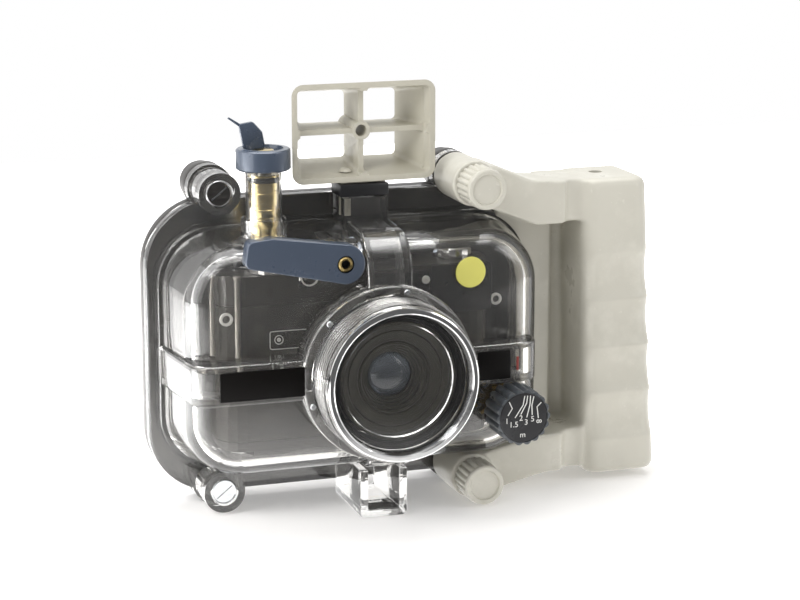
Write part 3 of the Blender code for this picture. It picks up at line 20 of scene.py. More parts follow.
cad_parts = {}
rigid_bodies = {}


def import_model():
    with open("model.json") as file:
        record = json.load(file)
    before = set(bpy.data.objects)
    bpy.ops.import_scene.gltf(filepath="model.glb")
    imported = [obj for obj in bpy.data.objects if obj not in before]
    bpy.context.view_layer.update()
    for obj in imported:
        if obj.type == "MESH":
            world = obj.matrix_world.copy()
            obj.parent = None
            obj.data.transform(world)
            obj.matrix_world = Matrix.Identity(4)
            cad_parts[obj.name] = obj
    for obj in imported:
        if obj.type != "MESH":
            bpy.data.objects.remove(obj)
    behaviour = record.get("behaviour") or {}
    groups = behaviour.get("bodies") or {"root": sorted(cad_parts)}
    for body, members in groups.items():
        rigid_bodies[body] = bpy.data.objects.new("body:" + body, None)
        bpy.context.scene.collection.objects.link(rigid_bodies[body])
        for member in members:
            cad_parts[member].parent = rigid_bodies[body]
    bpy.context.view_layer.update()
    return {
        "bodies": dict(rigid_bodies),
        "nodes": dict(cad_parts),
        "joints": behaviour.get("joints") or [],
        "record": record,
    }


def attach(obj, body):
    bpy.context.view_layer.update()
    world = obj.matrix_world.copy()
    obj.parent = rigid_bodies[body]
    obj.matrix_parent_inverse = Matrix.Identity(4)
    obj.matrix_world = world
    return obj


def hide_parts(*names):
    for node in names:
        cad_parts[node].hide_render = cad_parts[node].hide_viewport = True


LOG = logging.getLogger("housing")
PARTING = 0.025
NEAR = 0.000001
WELD = 0.000002
WHITE = (1.0, 1.0, 1.0, 1.0)

Pair = tuple[float, float]
Colour = tuple[float, float, float]
Profile = Sequence[Pair]
Chooser = Callable[[Vector], bool]
Piece = bpy.types.Object
Material = bpy.types.Material
Node = bpy.types.Node
Socket = bpy.types.NodeSocket
Tree = bpy.types.NodeTree
Outputs = bpy.types.NodeOutputs


def srgb(*channels: int) -> Colour:
    """Turn a colour as it looks on a screen into the linear one that shaders take.

    Args:
        *channels: Red, green and blue from 0 to 255.

    Returns:
        The three linear values.
    """
    shares = (value / 255 for value in channels)
    return tuple(share / 12.92 if share <= 0.04045 else ((share + 0.055) / 1.055) ** 2.4 for share in shares)


def metres(value: float) -> float:
    """A length in millimetres as one in metres."""
    return round(value / 1000, 12)


class Way(Enum):
    """Direction in which a piece is turned, drawn or pulled out."""

    AHEAD = "ahead"
    UP = "up"
    RIGHT = "right"


@dataclass(frozen=True)
class Station:
    """A point on the model and the direction in which a piece is built from it.

    For AHEAD the place is (x, z) and distances run from the parting plane towards the front. For
    UP it is (x, ahead) and distances are heights. For RIGHT it is (ahead, z) and distances are x.
    """

    way: Way
    place: Pair = (0, 0)

    def axis(self) -> Vector:
        """Direction of growing distance."""
        return {Way.AHEAD: Vector((0, -1, 0)), Way.UP: Vector((0, 0, 1)), Way.RIGHT: Vector((1, 0, 0))}[self.way]

    def point(self, first: float, second: float, along: float) -> Vector:
        """World point of two coordinates across the axis and one along it, all in metres.

        Args:
            first: x, or distance ahead for a station that looks right.
            second: z, or distance ahead for a station that looks up.
            along: Distance along the axis.

        Returns:
            The point.
        """
        u, v = first + metres(self.place[0]), second + metres(self.place[1])
        if self.way is Way.AHEAD:
            return Vector((u, PARTING - along, v))
        if self.way is Way.UP:
            return Vector((u, PARTING - v, along))
        return Vector((along, PARTING - u, v))

    def at(self, first: float, second: float, along: float) -> Vector:
        """The same point from coordinates in millimetres."""
        return self.point(metres(first), metres(second), metres(along))


def rounded(corners: Sequence[Sequence[float]], steps: int = 8) -> list[Pair]:
    """Outline through corners, some of which have a radius.

    Args:
        corners: Corners as (first, second) or (first, second, radius), in millimetres.
        steps: Edges in each arc.

    Returns:
        The outline's points in metres.
    """
    outline: list[Pair] = []
    sizes = [[metres(value) for value in corner] for corner in corners]
    for index, (first, second, *radius) in enumerate(sizes):
        if not radius:
            outline.append((first, second))
            continue
        corner = Vector((first, second))
        before = (Vector(sizes[index - 1][:2]) - corner).normalized()
        after = (Vector(sizes[(index + 1) % len(sizes)][:2]) - corner).normalized()
        half = before.angle(after) / 2
        centre = corner + (before + after).normalized() * radius[0] / math.sin(half)
        start = corner + before * radius[0] / math.tan(half) - centre
        end = corner + after * radius[0] / math.tan(half) - centre
        sweep = start.angle_signed(end)
        for step in range(steps + 1):
            outline.append(tuple(centre + Matrix.Rotation(-sweep * step / steps, 2) @ start))
    return outline


def panel(left: float, right: float, low: float, high: float, radius: float, steps: int) -> list[Pair]:
    """Outline, in metres, of a rectangle with round corners."""
    return rounded([(left, low, radius), (right, low, radius), (right, high, radius), (left, high, radius)], steps)


def arc(radius: float, low: float, high: float, steps: int) -> list[Pair]:
    """Points, in metres, of an arc round the origin between two directions in degrees."""
    turns = [math.radians(low + (high - low) * step / steps) for step in range(steps + 1)]
    return [(metres(radius) * math.cos(turn), metres(radius) * math.sin(turn)) for turn in turns]


def ribbon(points: Sequence[Pair], half: float) -> list[Pair]:
    """Outline of a line of some width.

    Args:
        points: Points of its middle, in millimetres.
        half: Half its width.

    Returns:
        The outline's points in metres.
    """
    left, right = [], []
    middle = [Vector((metres(first), metres(second))) for first, second in points]
    for index, point in enumerate(middle):
        before, after = middle[max(index - 1, 0)], middle[min(index + 1, len(middle) - 1)]
        side = (after - before).normalized().orthogonal() * metres(half)
        left.append(tuple(point + side))
        right.append(tuple(point - side))
    return left + right[::-1]


class Bench:
    """Edit-mode steps that every sub-assembly works with. Sizes are in millimetres."""

    def clear(self) -> None:
        """Select no object."""
        bpy.ops.object.select_all(action="DESELECT")

    def take(self, *pieces: Piece) -> None:
        """Select some objects alone, the first one active.

        Args:
            *pieces: The objects.
        """
        self.clear()
        for piece in pieces:
            piece.select_set(True)
        bpy.context.view_layer.objects.active = pieces[0]

    def bake(self, name: str) -> Piece:
        """Name the primitive just added and put its place into its mesh.

        Args:
            name: Its name.

        Returns:
            The object.
        """
        piece = bpy.context.object
        piece.name = name
        piece.data.name = name
        bpy.ops.object.transform_apply(location=True, rotation=True, scale=True)
        return piece

    def edit(self, piece: Piece) -> None:
        """Enter edit mode with everything selected.

        Args:
            piece: The object to edit.
        """
        self.take(piece)
        bpy.ops.object.mode_set(mode="EDIT")
        bpy.ops.mesh.select_mode(type="VERT")
        bpy.ops.mesh.select_all(action="SELECT")

    def leave(self) -> None:
        """Leave edit mode with the faces turned out."""
        bpy.ops.mesh.select_all(action="SELECT")
        bpy.ops.mesh.normals_make_consistent(inside=False)
        bpy.ops.object.mode_set(mode="OBJECT")

    def pick(self, kind: str, chooser: Chooser) -> None:
        """Select the edges or faces, in edit mode, whose every vertex passes a test.

        Args:
            kind: "EDGE" or "FACE".
            chooser: Test of a vertex's place in metres.
        """
        piece = bpy.context.edit_object
        bpy.ops.mesh.select_mode(type=kind)
        bpy.ops.mesh.select_all(action="DESELECT")
        mesh = bmesh.from_edit_mesh(piece.data)
        for item in mesh.edges if kind == "EDGE" else mesh.faces:
            if all(chooser(vert.co) for vert in item.verts):
                item.select_set(True)
        bmesh.update_edit_mesh(piece.data)

    def box(self, name: str, low: Sequence[float], high: Sequence[float]) -> Piece:
        """Add a box.

        Args:
            name: Name of the new object.
            low: Its lowest corner as (x, ahead, z).
            high: Its highest corner.

        Returns:
            The box.
        """
        first, last = (Vector((metres(x), PARTING - metres(ahead), metres(z))) for x, ahead, z in (low, high))
        self.clear()
        bpy.ops.mesh.primitive_cube_add(size=1.0, location=(first + last) / 2)
        bpy.context.object.scale = [abs(value) for value in last - first]
        return self.bake(name)

    def round_bar(self, name: str, station: Station, radius: float, low: float, high: float,
                  sides: int = 64) -> Piece:
        """Add a cylinder along a station's axis.

        Args:
            name: Name of the new object.
            station: Where its axis stands.
            radius: Its radius.
            low: Distance of its first end.
            high: Distance of its second end.
            sides: Faces round it.

        Returns:
            The cylinder.
        """
        turn = station.axis().to_track_quat("Z", "Y").to_euler()
        self.clear()
        bpy.ops.mesh.primitive_cylinder_add(vertices=sides, radius=metres(radius), depth=metres(high - low),
                                            location=station.at(0, 0, (low + high) / 2), rotation=turn)
        return self.bake(name)

    def bars(self, piece: Piece, action: Callable[..., None], rows: Iterable[Sequence]) -> None:
        """Join cylinders to a piece, or cut them out of it, one by one."""
        for row in rows:
            action(piece, self.round_bar(*row))

    def trace(self, name: str, points: Sequence[Vector], closed: bool = True) -> Piece:
        """Draw a line of edges by extruding one vertex from point to point.

        Args:
            name: Name of the new object.
            points: Corners of the line in world metres.
            closed: Whether the line comes back to its start.

        Returns:
            The object, left in edit mode with everything selected.
        """
        self.clear()
        bpy.ops.mesh.primitive_plane_add(size=0.001, location=points[0])
        self.edit(self.bake(name))
        bpy.ops.mesh.merge(type="CENTER")
        route = list(points) + ([points[0]] if closed else [])
        for before, after in zip(route, route[1:]):
            bpy.ops.mesh.extrude_region_move(TRANSFORM_OT_translate={"value": after - before})
        bpy.ops.mesh.select_all(action="SELECT")
        bpy.ops.mesh.remove_doubles(threshold=WELD)
        return bpy.context.edit_object

    def turning(self, name: str, station: Station, profile: Profile, sides: int) -> Piece:
        """Spin a profile round a station's axis.

        Args:
            name: Name of the new object.
            station: Where the axis stands.
            profile: Points as (radius, distance), from axis to axis or, for a bore, a loop.
            sides: Steps of the spin.

        Returns:
            The turned piece.
        """
        points = [station.at(radius, 0, along) for radius, along in profile]
        piece = self.trace(name, points, profile[0][0] > 0)
        bpy.ops.mesh.spin(steps=sides, angle=math.tau, center=station.point(0, 0, 0), axis=station.axis())
        bpy.ops.mesh.select_all(action="SELECT")
        bpy.ops.mesh.remove_doubles(threshold=WELD)
        self.leave()
        return piece

    def slab(self, name: str, station: Station, outline: Profile, low: float, high: float) -> Piece:
        """Fill an outline and pull it out.

        Args:
            name: Name of the new object.
            station: Where the outline's origin lies.
            outline: Its points in metres.
            low: Distance of the first face.
            high: Distance of the second face.

        Returns:
            The slab.
        """
        piece = self.trace(name, [station.point(u, v, metres(low)) for u, v in outline])
        bpy.ops.mesh.edge_face_add()
        bpy.ops.mesh.extrude_region_move(TRANSFORM_OT_translate={"value": station.axis() * metres(high - low)})
        self.leave()
        return piece

    def tray(self, name: str, back: Sequence[float], front: Sequence[float], corner: float, edge: float,
             steps: int) -> Piece:
        """Add a drafted block with round corners, and a round edge at its second face.

        Args:
            name: Name of the new object.
            back: (ahead, left, right, bottom, top) of the plain face.
            front: The same for the rounded face.
            corner: Radius of the four long corners.
            edge: Radius round the second face, or 0.
            steps: Faces in each corner.

        Returns:
            The block.
        """
        piece = self.box(name, (back[1], back[0], back[3]), (back[2], front[0], back[4]))
        _, left, right, low, high = (metres(value) for value in back)
        ahead, new_left, new_right, new_low, new_high = (metres(value) for value in front)
        end = PARTING - ahead
        self.edit(piece)
        self.pick("FACE", lambda co: abs(co.y - end) < NEAR)
        old = Vector(((left + right) / 2, end, (low + high) / 2))
        new = Vector(((new_left + new_right) / 2, end, (new_low + new_high) / 2))
        share = ((new_right - new_left) / (right - left), 1.0, (new_high - new_low) / (high - low))
        bpy.ops.transform.resize(value=share, center_override=old)
        bpy.ops.transform.translate(value=new - old)
        bpy.ops.mesh.select_mode(type="EDGE")
        bpy.ops.mesh.select_all(action="DESELECT")
        mesh = bmesh.from_edit_mesh(piece.data)
        for item in mesh.edges:
            item.select_set(abs(item.verts[0].co.y - item.verts[1].co.y) > NEAR)
        bmesh.update_edit_mesh(piece.data)
        bpy.ops.mesh.bevel(offset=metres(corner), segments=steps, affect="EDGES")
        if edge > 0:
            self.pick("EDGE", lambda co: abs(co.y - end) < NEAR)
            bpy.ops.mesh.bevel(offset=metres(edge), segments=max(steps // 2, 3), affect="EDGES")
        bpy.ops.mesh.select_all(action="SELECT")
        bpy.ops.mesh.quads_convert_to_tris()
        self.leave()
        return piece

    def figure(self, name: str, text: str, place: Vector, size: float, turn: float) -> Piece:
        """Raise one number or sign that faces the front.

        Args:
            name: Name of the new object.
            text: What it says.
            place: Its middle in world metres.
            size: Height of its font.
            turn: Angle by which it is turned.

        Returns:
            The figure as a mesh.
        """
        self.clear()
        bpy.ops.object.text_add(location=place, rotation=(math.pi / 2, turn, 0.0))
        words = bpy.context.object.data
        words.body, words.size, words.extrude = text, metres(size), metres(0.08)
        words.align_x, words.align_y = "CENTER", "CENTER"
        bpy.ops.object.convert(target="MESH")
        return self.bake(name)

    def modify(self, piece: Piece, kind: str, **settings: object) -> None:
        """Add a modifier and apply it.

        Args:
            piece: The object.
            kind: Type of the modifier.
            **settings: Its properties.
        """
        step = piece.modifiers.new(kind.lower(), kind)
        for key, value in settings.items():
            setattr(step, key, value)
        self.take(piece)
        bpy.ops.object.modifier_apply(modifier=step.name)

    def soften(self, piece: Piece, width: float, segments: int = 2, angle: float = 40.0) -> None:
        """Round a piece's sharp edges."""
        self.modify(piece, "BEVEL", width=metres(width), segments=segments, limit_method="ANGLE",
                    angle_limit=math.radians(angle), harden_normals=False)

    def combine(self, piece: Piece, operation: str, others: Iterable[Piece]) -> None:
        """Apply one Boolean for each other shape and remove that shape.

        Args:
            piece: The piece that changes.
            operation: "UNION" or "DIFFERENCE".
            others: The other shapes.
        """
        for other in others:
            self.modify(piece, "BOOLEAN", operation=operation, solver="EXACT", object=other)
            bpy.data.objects.remove(other, do_unlink=True)

    def join(self, piece: Piece, *others: Piece) -> None:
        """Unite other shapes with a piece."""
        self.combine(piece, "UNION", others)

    def cut(self, piece: Piece, *others: Piece) -> None:
        """Cut other shapes out of a piece."""
        self.combine(piece, "DIFFERENCE", others)

    def gather(self, name: str, pieces: Sequence[Piece]) -> Piece:
        """Make one object of several separate shapes.

        Args:
            name: Its name.
            pieces: The shapes.

        Returns:
            The object.
        """
        self.take(*pieces)
        bpy.ops.object.join()
        pieces[0].name = name
        return pieces[0]

    def smooth(self, piece: Piece, angle: float) -> None:
        """Shade a piece smooth up to an angle."""
        self.take(piece)
        bpy.ops.object.shade_smooth_by_angle(angle=math.radians(angle))


class Nodes:
    """Places and links the nodes of one tree."""

    def __init__(self, tree: Tree) -> None:
        """Keep the tree that nodes are added to."""
        self.tree = tree

    def link(self, value: Socket, node: Node, key: object) -> None:
        """Link a socket to one input of a node."""
        self.tree.links.new(value, node.inputs[key])

    def add(self, kind: str, inputs: Optional[dict] = None, **settings: object) -> Node:
        """Add a node.

        Args:
            kind: Node type without its ShaderNode prefix.
            inputs: Socket names or numbers with a value or another socket.
            **settings: Properties of the node.

        Returns:
            The node.
        """
        node = self.tree.nodes.new("ShaderNode" + kind)
        for key, value in settings.items():
            setattr(node, key, value)
        for key, value in (inputs or {}).items():
            if isinstance(value, Socket):
                self.link(value, node, key)
            else:
                node.inputs[key].default_value = value
        return node

    def blend(self, share: Socket, first: object, second: object) -> Socket:
        """Mix two colours by a share.

        Args:
            share: Share of the second colour.
            first: Colour or socket.
            second: Colour or socket.

        Returns:
            The mixed colour.
        """
        colours = [(*value, 1.0) if isinstance(value, tuple) else value for value in (first, second)]
        return self.add("Mix", {0: share, 6: colours[0], 7: colours[1]}, data_type="RGBA").outputs[2]

    def span(self, value: object, low: float, high: float, to_low: float = 0.0, to_high: float = 1.0) -> Socket:
        """Map one range of a value to another."""
        return self.add("MapRange", {0: value, 1: low, 2: high, 3: to_low, 4: to_high}).outputs[0]

    def sum(self, operation: str, first: object, second: object) -> Socket:
        """Combine two numbers."""
        return self.add("Math", {0: first, 1: second}, operation=operation).outputs[0]

    def place(self) -> Socket:
        """Place on the object in metres."""
        return self.add("TexCoord").outputs["Object"]


class SharedEffects:
    """Node groups that more than one finish uses."""

    def __init__(self) -> None:
        """Build each group once."""
        self.grain = self._group("moulded_grain", {"Fine Scale": 1800.0, "Tone Scale": 22.0}, self._grain)
        self.wear = self._group("handling_wear", {"Patch Scale": 40.0, "Speck Scale": 420.0}, self._wear)
        self.scratches = self._group("hairline_scratches", {"Scale": 60.0, "Amount": 0.5}, self._scratches)
        self.streaks = self._group("machining_marks", {"Scale": 900.0}, self._streaks)

    def _group(self, name: str, inputs: dict, effect: Callable[[Nodes, Outputs], dict]) -> Tree:
        """Make a group with number sockets in and out.

        Args:
            name: Its name.
            inputs: Values of its input sockets.
            effect: Draws the nodes and gives the value of each output socket.

        Returns:
            The group.
        """
        tree = bpy.data.node_groups.new(name, "ShaderNodeTree")
        for socket, value in inputs.items():
            made = tree.interface.new_socket(name=socket, in_out="INPUT", socket_type="NodeSocketFloat")
            made.default_value = value
        pen = Nodes(tree)
        source = tree.nodes.new("NodeGroupInput")
        outputs = effect(pen, source.outputs)
        for socket in outputs:
            tree.interface.new_socket(name=socket, in_out="OUTPUT", socket_type="NodeSocketFloat")
        result = tree.nodes.new("NodeGroupOutput")
        for socket, value in outputs.items():
            pen.link(value, result, socket)
        return tree

    def _noise(self, pen: Nodes, place: Socket, scale: object, detail: float, **more: float) -> Socket:
        """Noise of some scale at a place."""
        return pen.add("TexNoise", {"Vector": place, "Scale": scale, "Detail": detail, **more}).outputs[0]

    def _grain(self, pen: Nodes, source: Outputs) -> dict:
        """Fine moulded grain: a height and a slow tone.

        Args:
            pen: Pen of the group.
            source: Its input sockets.

        Returns:
            The value of each output.
        """
        place = pen.place()
        fine = self._noise(pen, place, source["Fine Scale"], 3.0)
        cells = pen.add("TexVoronoi", {"Vector": place, "Scale": source["Fine Scale"]})
        slow = self._noise(pen, place, source["Tone Scale"], 4.0, Roughness=0.6)
        height = pen.sum("ADD", fine, pen.sum("MULTIPLY", cells.outputs[0], 0.35))
        return {"Height": height, "Tone": pen.span(slow, 0.3, 0.7)}

    def _wear(self, pen: Nodes, source: Outputs) -> dict:
        """Handling wear: broad polished patches and small specks.

        Args:
            pen: Pen of the group.
            source: Its input sockets.

        Returns:
            The value of each output.
        """
        place = pen.place()
        broad = self._noise(pen, place, source["Patch Scale"], 6.0, Roughness=0.65)
        tiny = self._noise(pen, place, source["Speck Scale"], 2.0)
        return {"Patches": pen.span(broad, 0.52, 0.68), "Specks": pen.span(tiny, 0.69, 0.76)}

    def _scratches(self, pen: Nodes, source: Outputs) -> dict:
        """Hairline scratches in two directions.

        Args:
            pen: Pen of the group.
            source: Its input sockets.

        Returns:
            The value of the output.
        """
        place = pen.place()
        lines = []
        for turn, stretch in (((0.4, 0.3, 0.9), (1.0, 34.0, 1.0)), ((-0.5, 0.8, -0.6), (28.0, 1.0, 1.0))):
            turned = pen.add("Mapping", {"Vector": place, "Rotation": turn, "Scale": stretch}).outputs[0]
            lines.append(pen.span(self._noise(pen, turned, source["Scale"], 2.0), 0.70, 0.74))
        return {"Lines": pen.sum("MULTIPLY", pen.sum("MAXIMUM", *lines), source["Amount"])}

    def _streaks(self, pen: Nodes, source: Outputs) -> dict:
        """Fine machining marks across the y and z axes."""
        pulled = pen.add("Mapping", {"Vector": pen.place(), "Scale": (0.04, 1.0, 1.0)}).outputs[0]
        return {"Marks": self._noise(pen, pulled, source["Scale"], 3.0)}


@dataclass(frozen=True)
class Finish:
    """What every finish has: a name and how it starts its material."""

    name: str

    def start(self) -> tuple[Material, Nodes, Node]:
        """Make the material.

        Returns:
            The material, its pen and its shader.
        """
        made = bpy.data.materials.new(self.name)
        made.use_nodes = True
        return made, Nodes(made.node_tree), made.node_tree.nodes["Principled BSDF"]

    def group(self, pen: Nodes, tree: Tree, **values: float) -> Node:
        """Place a shared group.

        Args:
            pen: Pen of the material.
            tree: The group.
            **values: Its inputs, with _ for a space.

        Returns:
            The group's node.
        """
        node = pen.add("Group", node_tree=tree)
        for key, value in values.items():
            node.inputs[key.replace("_", " ")].default_value = value
        return node


@dataclass(frozen=True)
class Moulded(Finish):
    """Opaque moulded or painted surface with grain, slow tone changes and wear."""

    colour: Colour
    worn: Colour
    roughness: float = 0.45
    grain: float = 0.08
    wear: float = 0.35
    metallic: float = 0.0
    coat: float = 0.0
    fine_scale: float = 1800.0
    shine: float = 0.5

    def build(self, effects: SharedEffects) -> Material:
        """Build the material.

        Args:
            effects: The shared groups.

        Returns:
            The material.
        """
        made, pen, shader = self.start()
        grain = self.group(pen, effects.grain, Fine_Scale=self.fine_scale)
        wear = self.group(pen, effects.wear)
        patches, specks = wear.outputs["Patches"], wear.outputs["Specks"]
        dark = tuple(value * 0.88 for value in self.colour)
        base = pen.blend(grain.outputs["Tone"], dark, self.colour)
        share = pen.sum("MAXIMUM", pen.sum("MULTIPLY", patches, self.wear), pen.sum("MULTIPLY", specks, self.wear))
        pen.link(pen.blend(share, base, self.worn), shader, "Base Color")
        rough = pen.span(patches, 0.0, 1.0, self.roughness, max(self.roughness - 0.14, 0.08))
        pen.link(rough, shader, "Roughness")
        for key, value in (("Metallic", self.metallic), ("Specular IOR Level", self.shine),
                           ("Coat Weight", self.coat), ("Coat Roughness", 0.12)):
            shader.inputs[key].default_value = value
        bump = pen.add("Bump", {"Height": grain.outputs["Height"], "Strength": self.grain, "Distance": 0.0002})
        pen.link(bump.outputs[0], shader, "Normal")
        return made


@dataclass(frozen=True)
class Metal(Finish):
    """Bare or plated metal with machining marks and tarnish."""

    colour: Colour
    tarnish: Colour
    roughness: float = 0.22
    marks: float = 0.12

    def build(self, effects: SharedEffects) -> Material:
        """Build the material.

        Args:
            effects: The shared groups.

        Returns:
            The material.
        """
        made, pen, shader = self.start()
        wear = self.group(pen, effects.wear, Patch_Scale=90.0)
        marks = self.group(pen, effects.streaks).outputs["Marks"]
        share = pen.sum("MULTIPLY", wear.outputs["Patches"], 0.5)
        pen.link(pen.blend(share, self.colour, self.tarnish), shader, "Base Color")
        rough = pen.span(marks, 0.3, 0.7, self.roughness * 0.75, self.roughness * 1.35)
        pen.link(rough, shader, "Roughness")
        shader.inputs["Metallic"].default_value = 1.0
        bump = pen.add("Bump", {"Height": marks, "Strength": self.marks, "Distance": 0.0001})
        pen.link(bump.outputs[0], shader, "Normal")
        return made


@dataclass(frozen=True)
class Clear(Finish):
    """Clear moulding or glass with faint smears and hairline scratches."""

    colour: Colour
    roughness: float = 0.02
    index: float = 1.49
    scratch: float = 0.5
    ripple: float = 0.03
    clarity: float = 1.0

    def build(self, effects: SharedEffects) -> Material:
        """Build the material.

        Args:
            effects: The shared groups.

        Returns:
            The material.
        """
        made, pen, shader = self.start()
        lines = self.group(pen, effects.scratches, Amount=self.scratch).outputs["Lines"]
        patches = self.group(pen, effects.wear, Patch_Scale=18.0).outputs["Patches"]
        smear = pen.sum("ADD", pen.sum("MULTIPLY", patches, 0.05), self.roughness)
        pen.link(pen.sum("ADD", smear, pen.sum("MULTIPLY", lines, 0.25)), shader, "Roughness")
        tint = tuple(value * 0.93 for value in self.colour)
        pen.link(pen.blend(patches, self.colour, tint), shader, "Base Color")
        shader.inputs["Transmission Weight"].default_value = self.clarity
        shader.inputs["IOR"].default_value = self.index
        flow = pen.add("TexNoise", {"Vector": pen.place(), "Scale": 55.0, "Detail": 2.0})
        bump = pen.add("Bump", {"Height": flow.outputs[0], "Strength": self.ripple, "Distance": 0.002})
        pen.link(bump.outputs[0], shader, "Normal")
        return made


class Palette:
    """Every finish of the object, each built once."""

    FINISHES = (
        Clear("clear_moulding", (0.95, 0.94, 0.92), 0.012, 1.55, 0.6, 0.05, clarity=0.975),
        Clear("port_pane", (0.98, 0.98, 0.97), 0.004, 1.50, 0.2, 0.0, clarity=0.995),
        Clear("coated_glass", (0.62, 0.68, 0.78), 0.02, 1.60, 0.1, 0.0, clarity=0.9),
        Moulded("grip_plastic", srgb(203, 200, 188), srgb(222, 219, 208), 0.40, 0.10, 0.35),
        # Finder grey: its own colour, painted darker all over to stand in for the shade inside the finder's cells.
        Moulded("finder_plastic_shade_darkened", srgb(194, 190, 175), srgb(212, 208, 196), 0.42, 0.08, 0.3),
        Moulded("dark_cover", srgb(46, 44, 41), srgb(70, 68, 64), 0.38, 0.10, 0.3),
        Moulded("seal_rubber", srgb(20, 20, 20), srgb(44, 44, 42), 0.55, 0.15, 0.3),
        Moulded("blue_enamel", srgb(72, 82, 98), srgb(120, 130, 148), 0.30, 0.04, 0.10, metallic=0.15, coat=0.4),
        Moulded("black_plastic", srgb(34, 34, 36), srgb(80, 82, 84), 0.34, 0.10, 0.22),
        Moulded("knob_grey", srgb(72, 76, 80), srgb(128, 132, 136), 0.38, 0.10, 0.25),
        Moulded("liner_black", srgb(10, 9, 8), srgb(26, 24, 22), 0.5, 0.05, 0.2, shine=0.15),
        Moulded("plate_black", srgb(12, 10, 9), srgb(26, 24, 22), 0.50, 0.03, 0.15, shine=0.12),
        Moulded("camera_leather", srgb(46, 43, 38), srgb(104, 98, 88), 0.55, 0.9, 0.4, fine_scale=900.0, shine=0.3),
        Moulded("camera_enamel", srgb(44, 41, 37), srgb(88, 84, 74), 0.36, 0.06, 0.25, shine=0.3),
        Moulded("lens_enamel", srgb(72, 69, 62), srgb(96, 92, 84), 0.42, 0.05, 0.2, shine=0.25),
        Moulded("view_black", srgb(16, 15, 18), srgb(48, 48, 54), 0.16, 0.02, 0.2, shine=0.3),
        Moulded("satin_alloy", srgb(146, 142, 136), srgb(178, 174, 168), 0.42, 0.08, 0.3, metallic=0.5),
        Moulded("yellow_print", srgb(212, 207, 104), srgb(198, 194, 96), 0.45, 0.05, 0.3),
        Moulded("red_print", srgb(132, 46, 40), srgb(110, 44, 38), 0.5, 0.05, 0.3),
        # White: real print on the dial, and also a painted glint on the camera's chrome trim.
        Moulded("white_print_and_glint", srgb(232, 232, 228), srgb(210, 210, 206), 0.5, 0.05, 0.3),
        Metal("brass", srgb(218, 200, 150), srgb(146, 126, 80), 0.16, 0.12),
        Metal("dull_brass", srgb(128, 112, 74), srgb(84, 72, 48), 0.34, 0.2),
        Metal("plated_steel", srgb(196, 198, 200), srgb(150, 150, 150), 0.2, 0.1),
        Metal("bright_chrome", srgb(226, 226, 226), srgb(196, 196, 192), 0.1, 0.05),
        Metal("dark_screw", srgb(84, 82, 80), srgb(52, 50, 48), 0.45, 0.5),
    )

    def __init__(self) -> None:
        """Build the shared groups and every material."""
        effects = SharedEffects()
        self.materials = {finish.name: finish.build(effects) for finish in self.FINISHES}

    def dress(self, piece: Piece, finish: str) -> None:
        """Give a piece one finish all over, in place of what it has."""
        piece.data.materials.clear()
        piece.data.materials.append(self.materials[finish])


@dataclass
class Assembly:
    """What every sub-assembly has: bench, palette, the frame's solids and a list of what it made."""

    bench: Bench
    palette: Palette
    nodes: dict
    made: list = field(default_factory=list)

    def keep(self, piece: Piece, finish: str, slot: str, *replaces: str, body: str = "housing",
             angle: float = 32.0) -> Piece:
        """Finish a piece and set it to ride on its body.

        Args:
            piece: The modelled piece.
            finish: Name of its finish.
            slot: Material slot of the record; not used.
            *replaces: Nodes that it stands for.
            body: Body that it moves with.
            angle: Angle up to which it is shaded smooth.

        Returns:
            The piece.
        """
        self.palette.dress(piece, finish)
        self.bench.smooth(piece, angle)
        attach(piece, body)
        if replaces:
            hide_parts(*replaces)
        self.made.append(piece.name)
        LOG.info("made %s on %s", piece.name, body)
        return piece

    def turned(self, name: str, station: Station, profile: Profile, finish: str, slot: str, *replaces: str,
               body: str = "housing", sides: int = 64, angle: float = 32.0) -> Piece:
        """Turn a profile round a station and keep what comes out."""
        piece = self.bench.turning(name, station, profile, sides)
        return self.keep(piece, finish, slot, *replaces, body=body, angle=angle)

    def second(self, piece: Piece, finish: str, station: Station, chooser: Callable[[float, float], bool]) -> None:
        """Give some faces of a turned piece a second finish.

        Args:
            piece: The piece.
            finish: Name of the second finish.
            station: Where the piece's axis stands, with the way AHEAD.
            chooser: Test of a face's distance from the axis and ahead, in millimetres.
        """
        piece.data.materials.append(self.palette.materials[finish])
        x, z = station.place
        for face in piece.data.polygons:
            place = face.center * 1000
            if chooser(math.hypot(place.x - x, place.z - z), PARTING * 1000 - place.y):
                face.material_index = 1

    def dress_nodes(self, **finishes: str) -> None:
        """Give solids of the frame one finish each.

        Args:
            **finishes: Name of the finish for each node.
        """
        for node, finish in finishes.items():
            target = self.nodes[node]
            while len(target.data.materials) > 1:
                target.data.materials.pop()
            target.data.materials[0] = self.palette.materials[finish]


LENS = Station(Way.AHEAD, (0, 60))
WIND = Station(Way.UP, (-41, 18))
SHUTTER = Station(Way.AHEAD, (-17.8, 104.8))
FOCUS = Station(Way.AHEAD, (52.6, 40.0676))
FLAT = Station(Way.AHEAD)
LEVEL = Station(Way.UP)
SIDE = Station(Way.RIGHT)
CLOSURES = {
    "top_left": Station(Way.AHEAD, (-59, 129)),
    "bottom_left": Station(Way.AHEAD, (-59, 9.2)),
    "top_right": Station(Way.AHEAD, (42, 129)),
    "bottom_right": Station(Way.AHEAD, (42, 9.2)),
}
LEFT_CLOSURES = {name: CLOSURES[name] for name in ("top_left", "bottom_left")}
RIGHT_CLOSURES = {name: CLOSURES[name] for name in ("top_right", "bottom_right")}
FLANGE = (-85.5, 77, 5.5, 124.5)
FLANGE_CORNER = 27


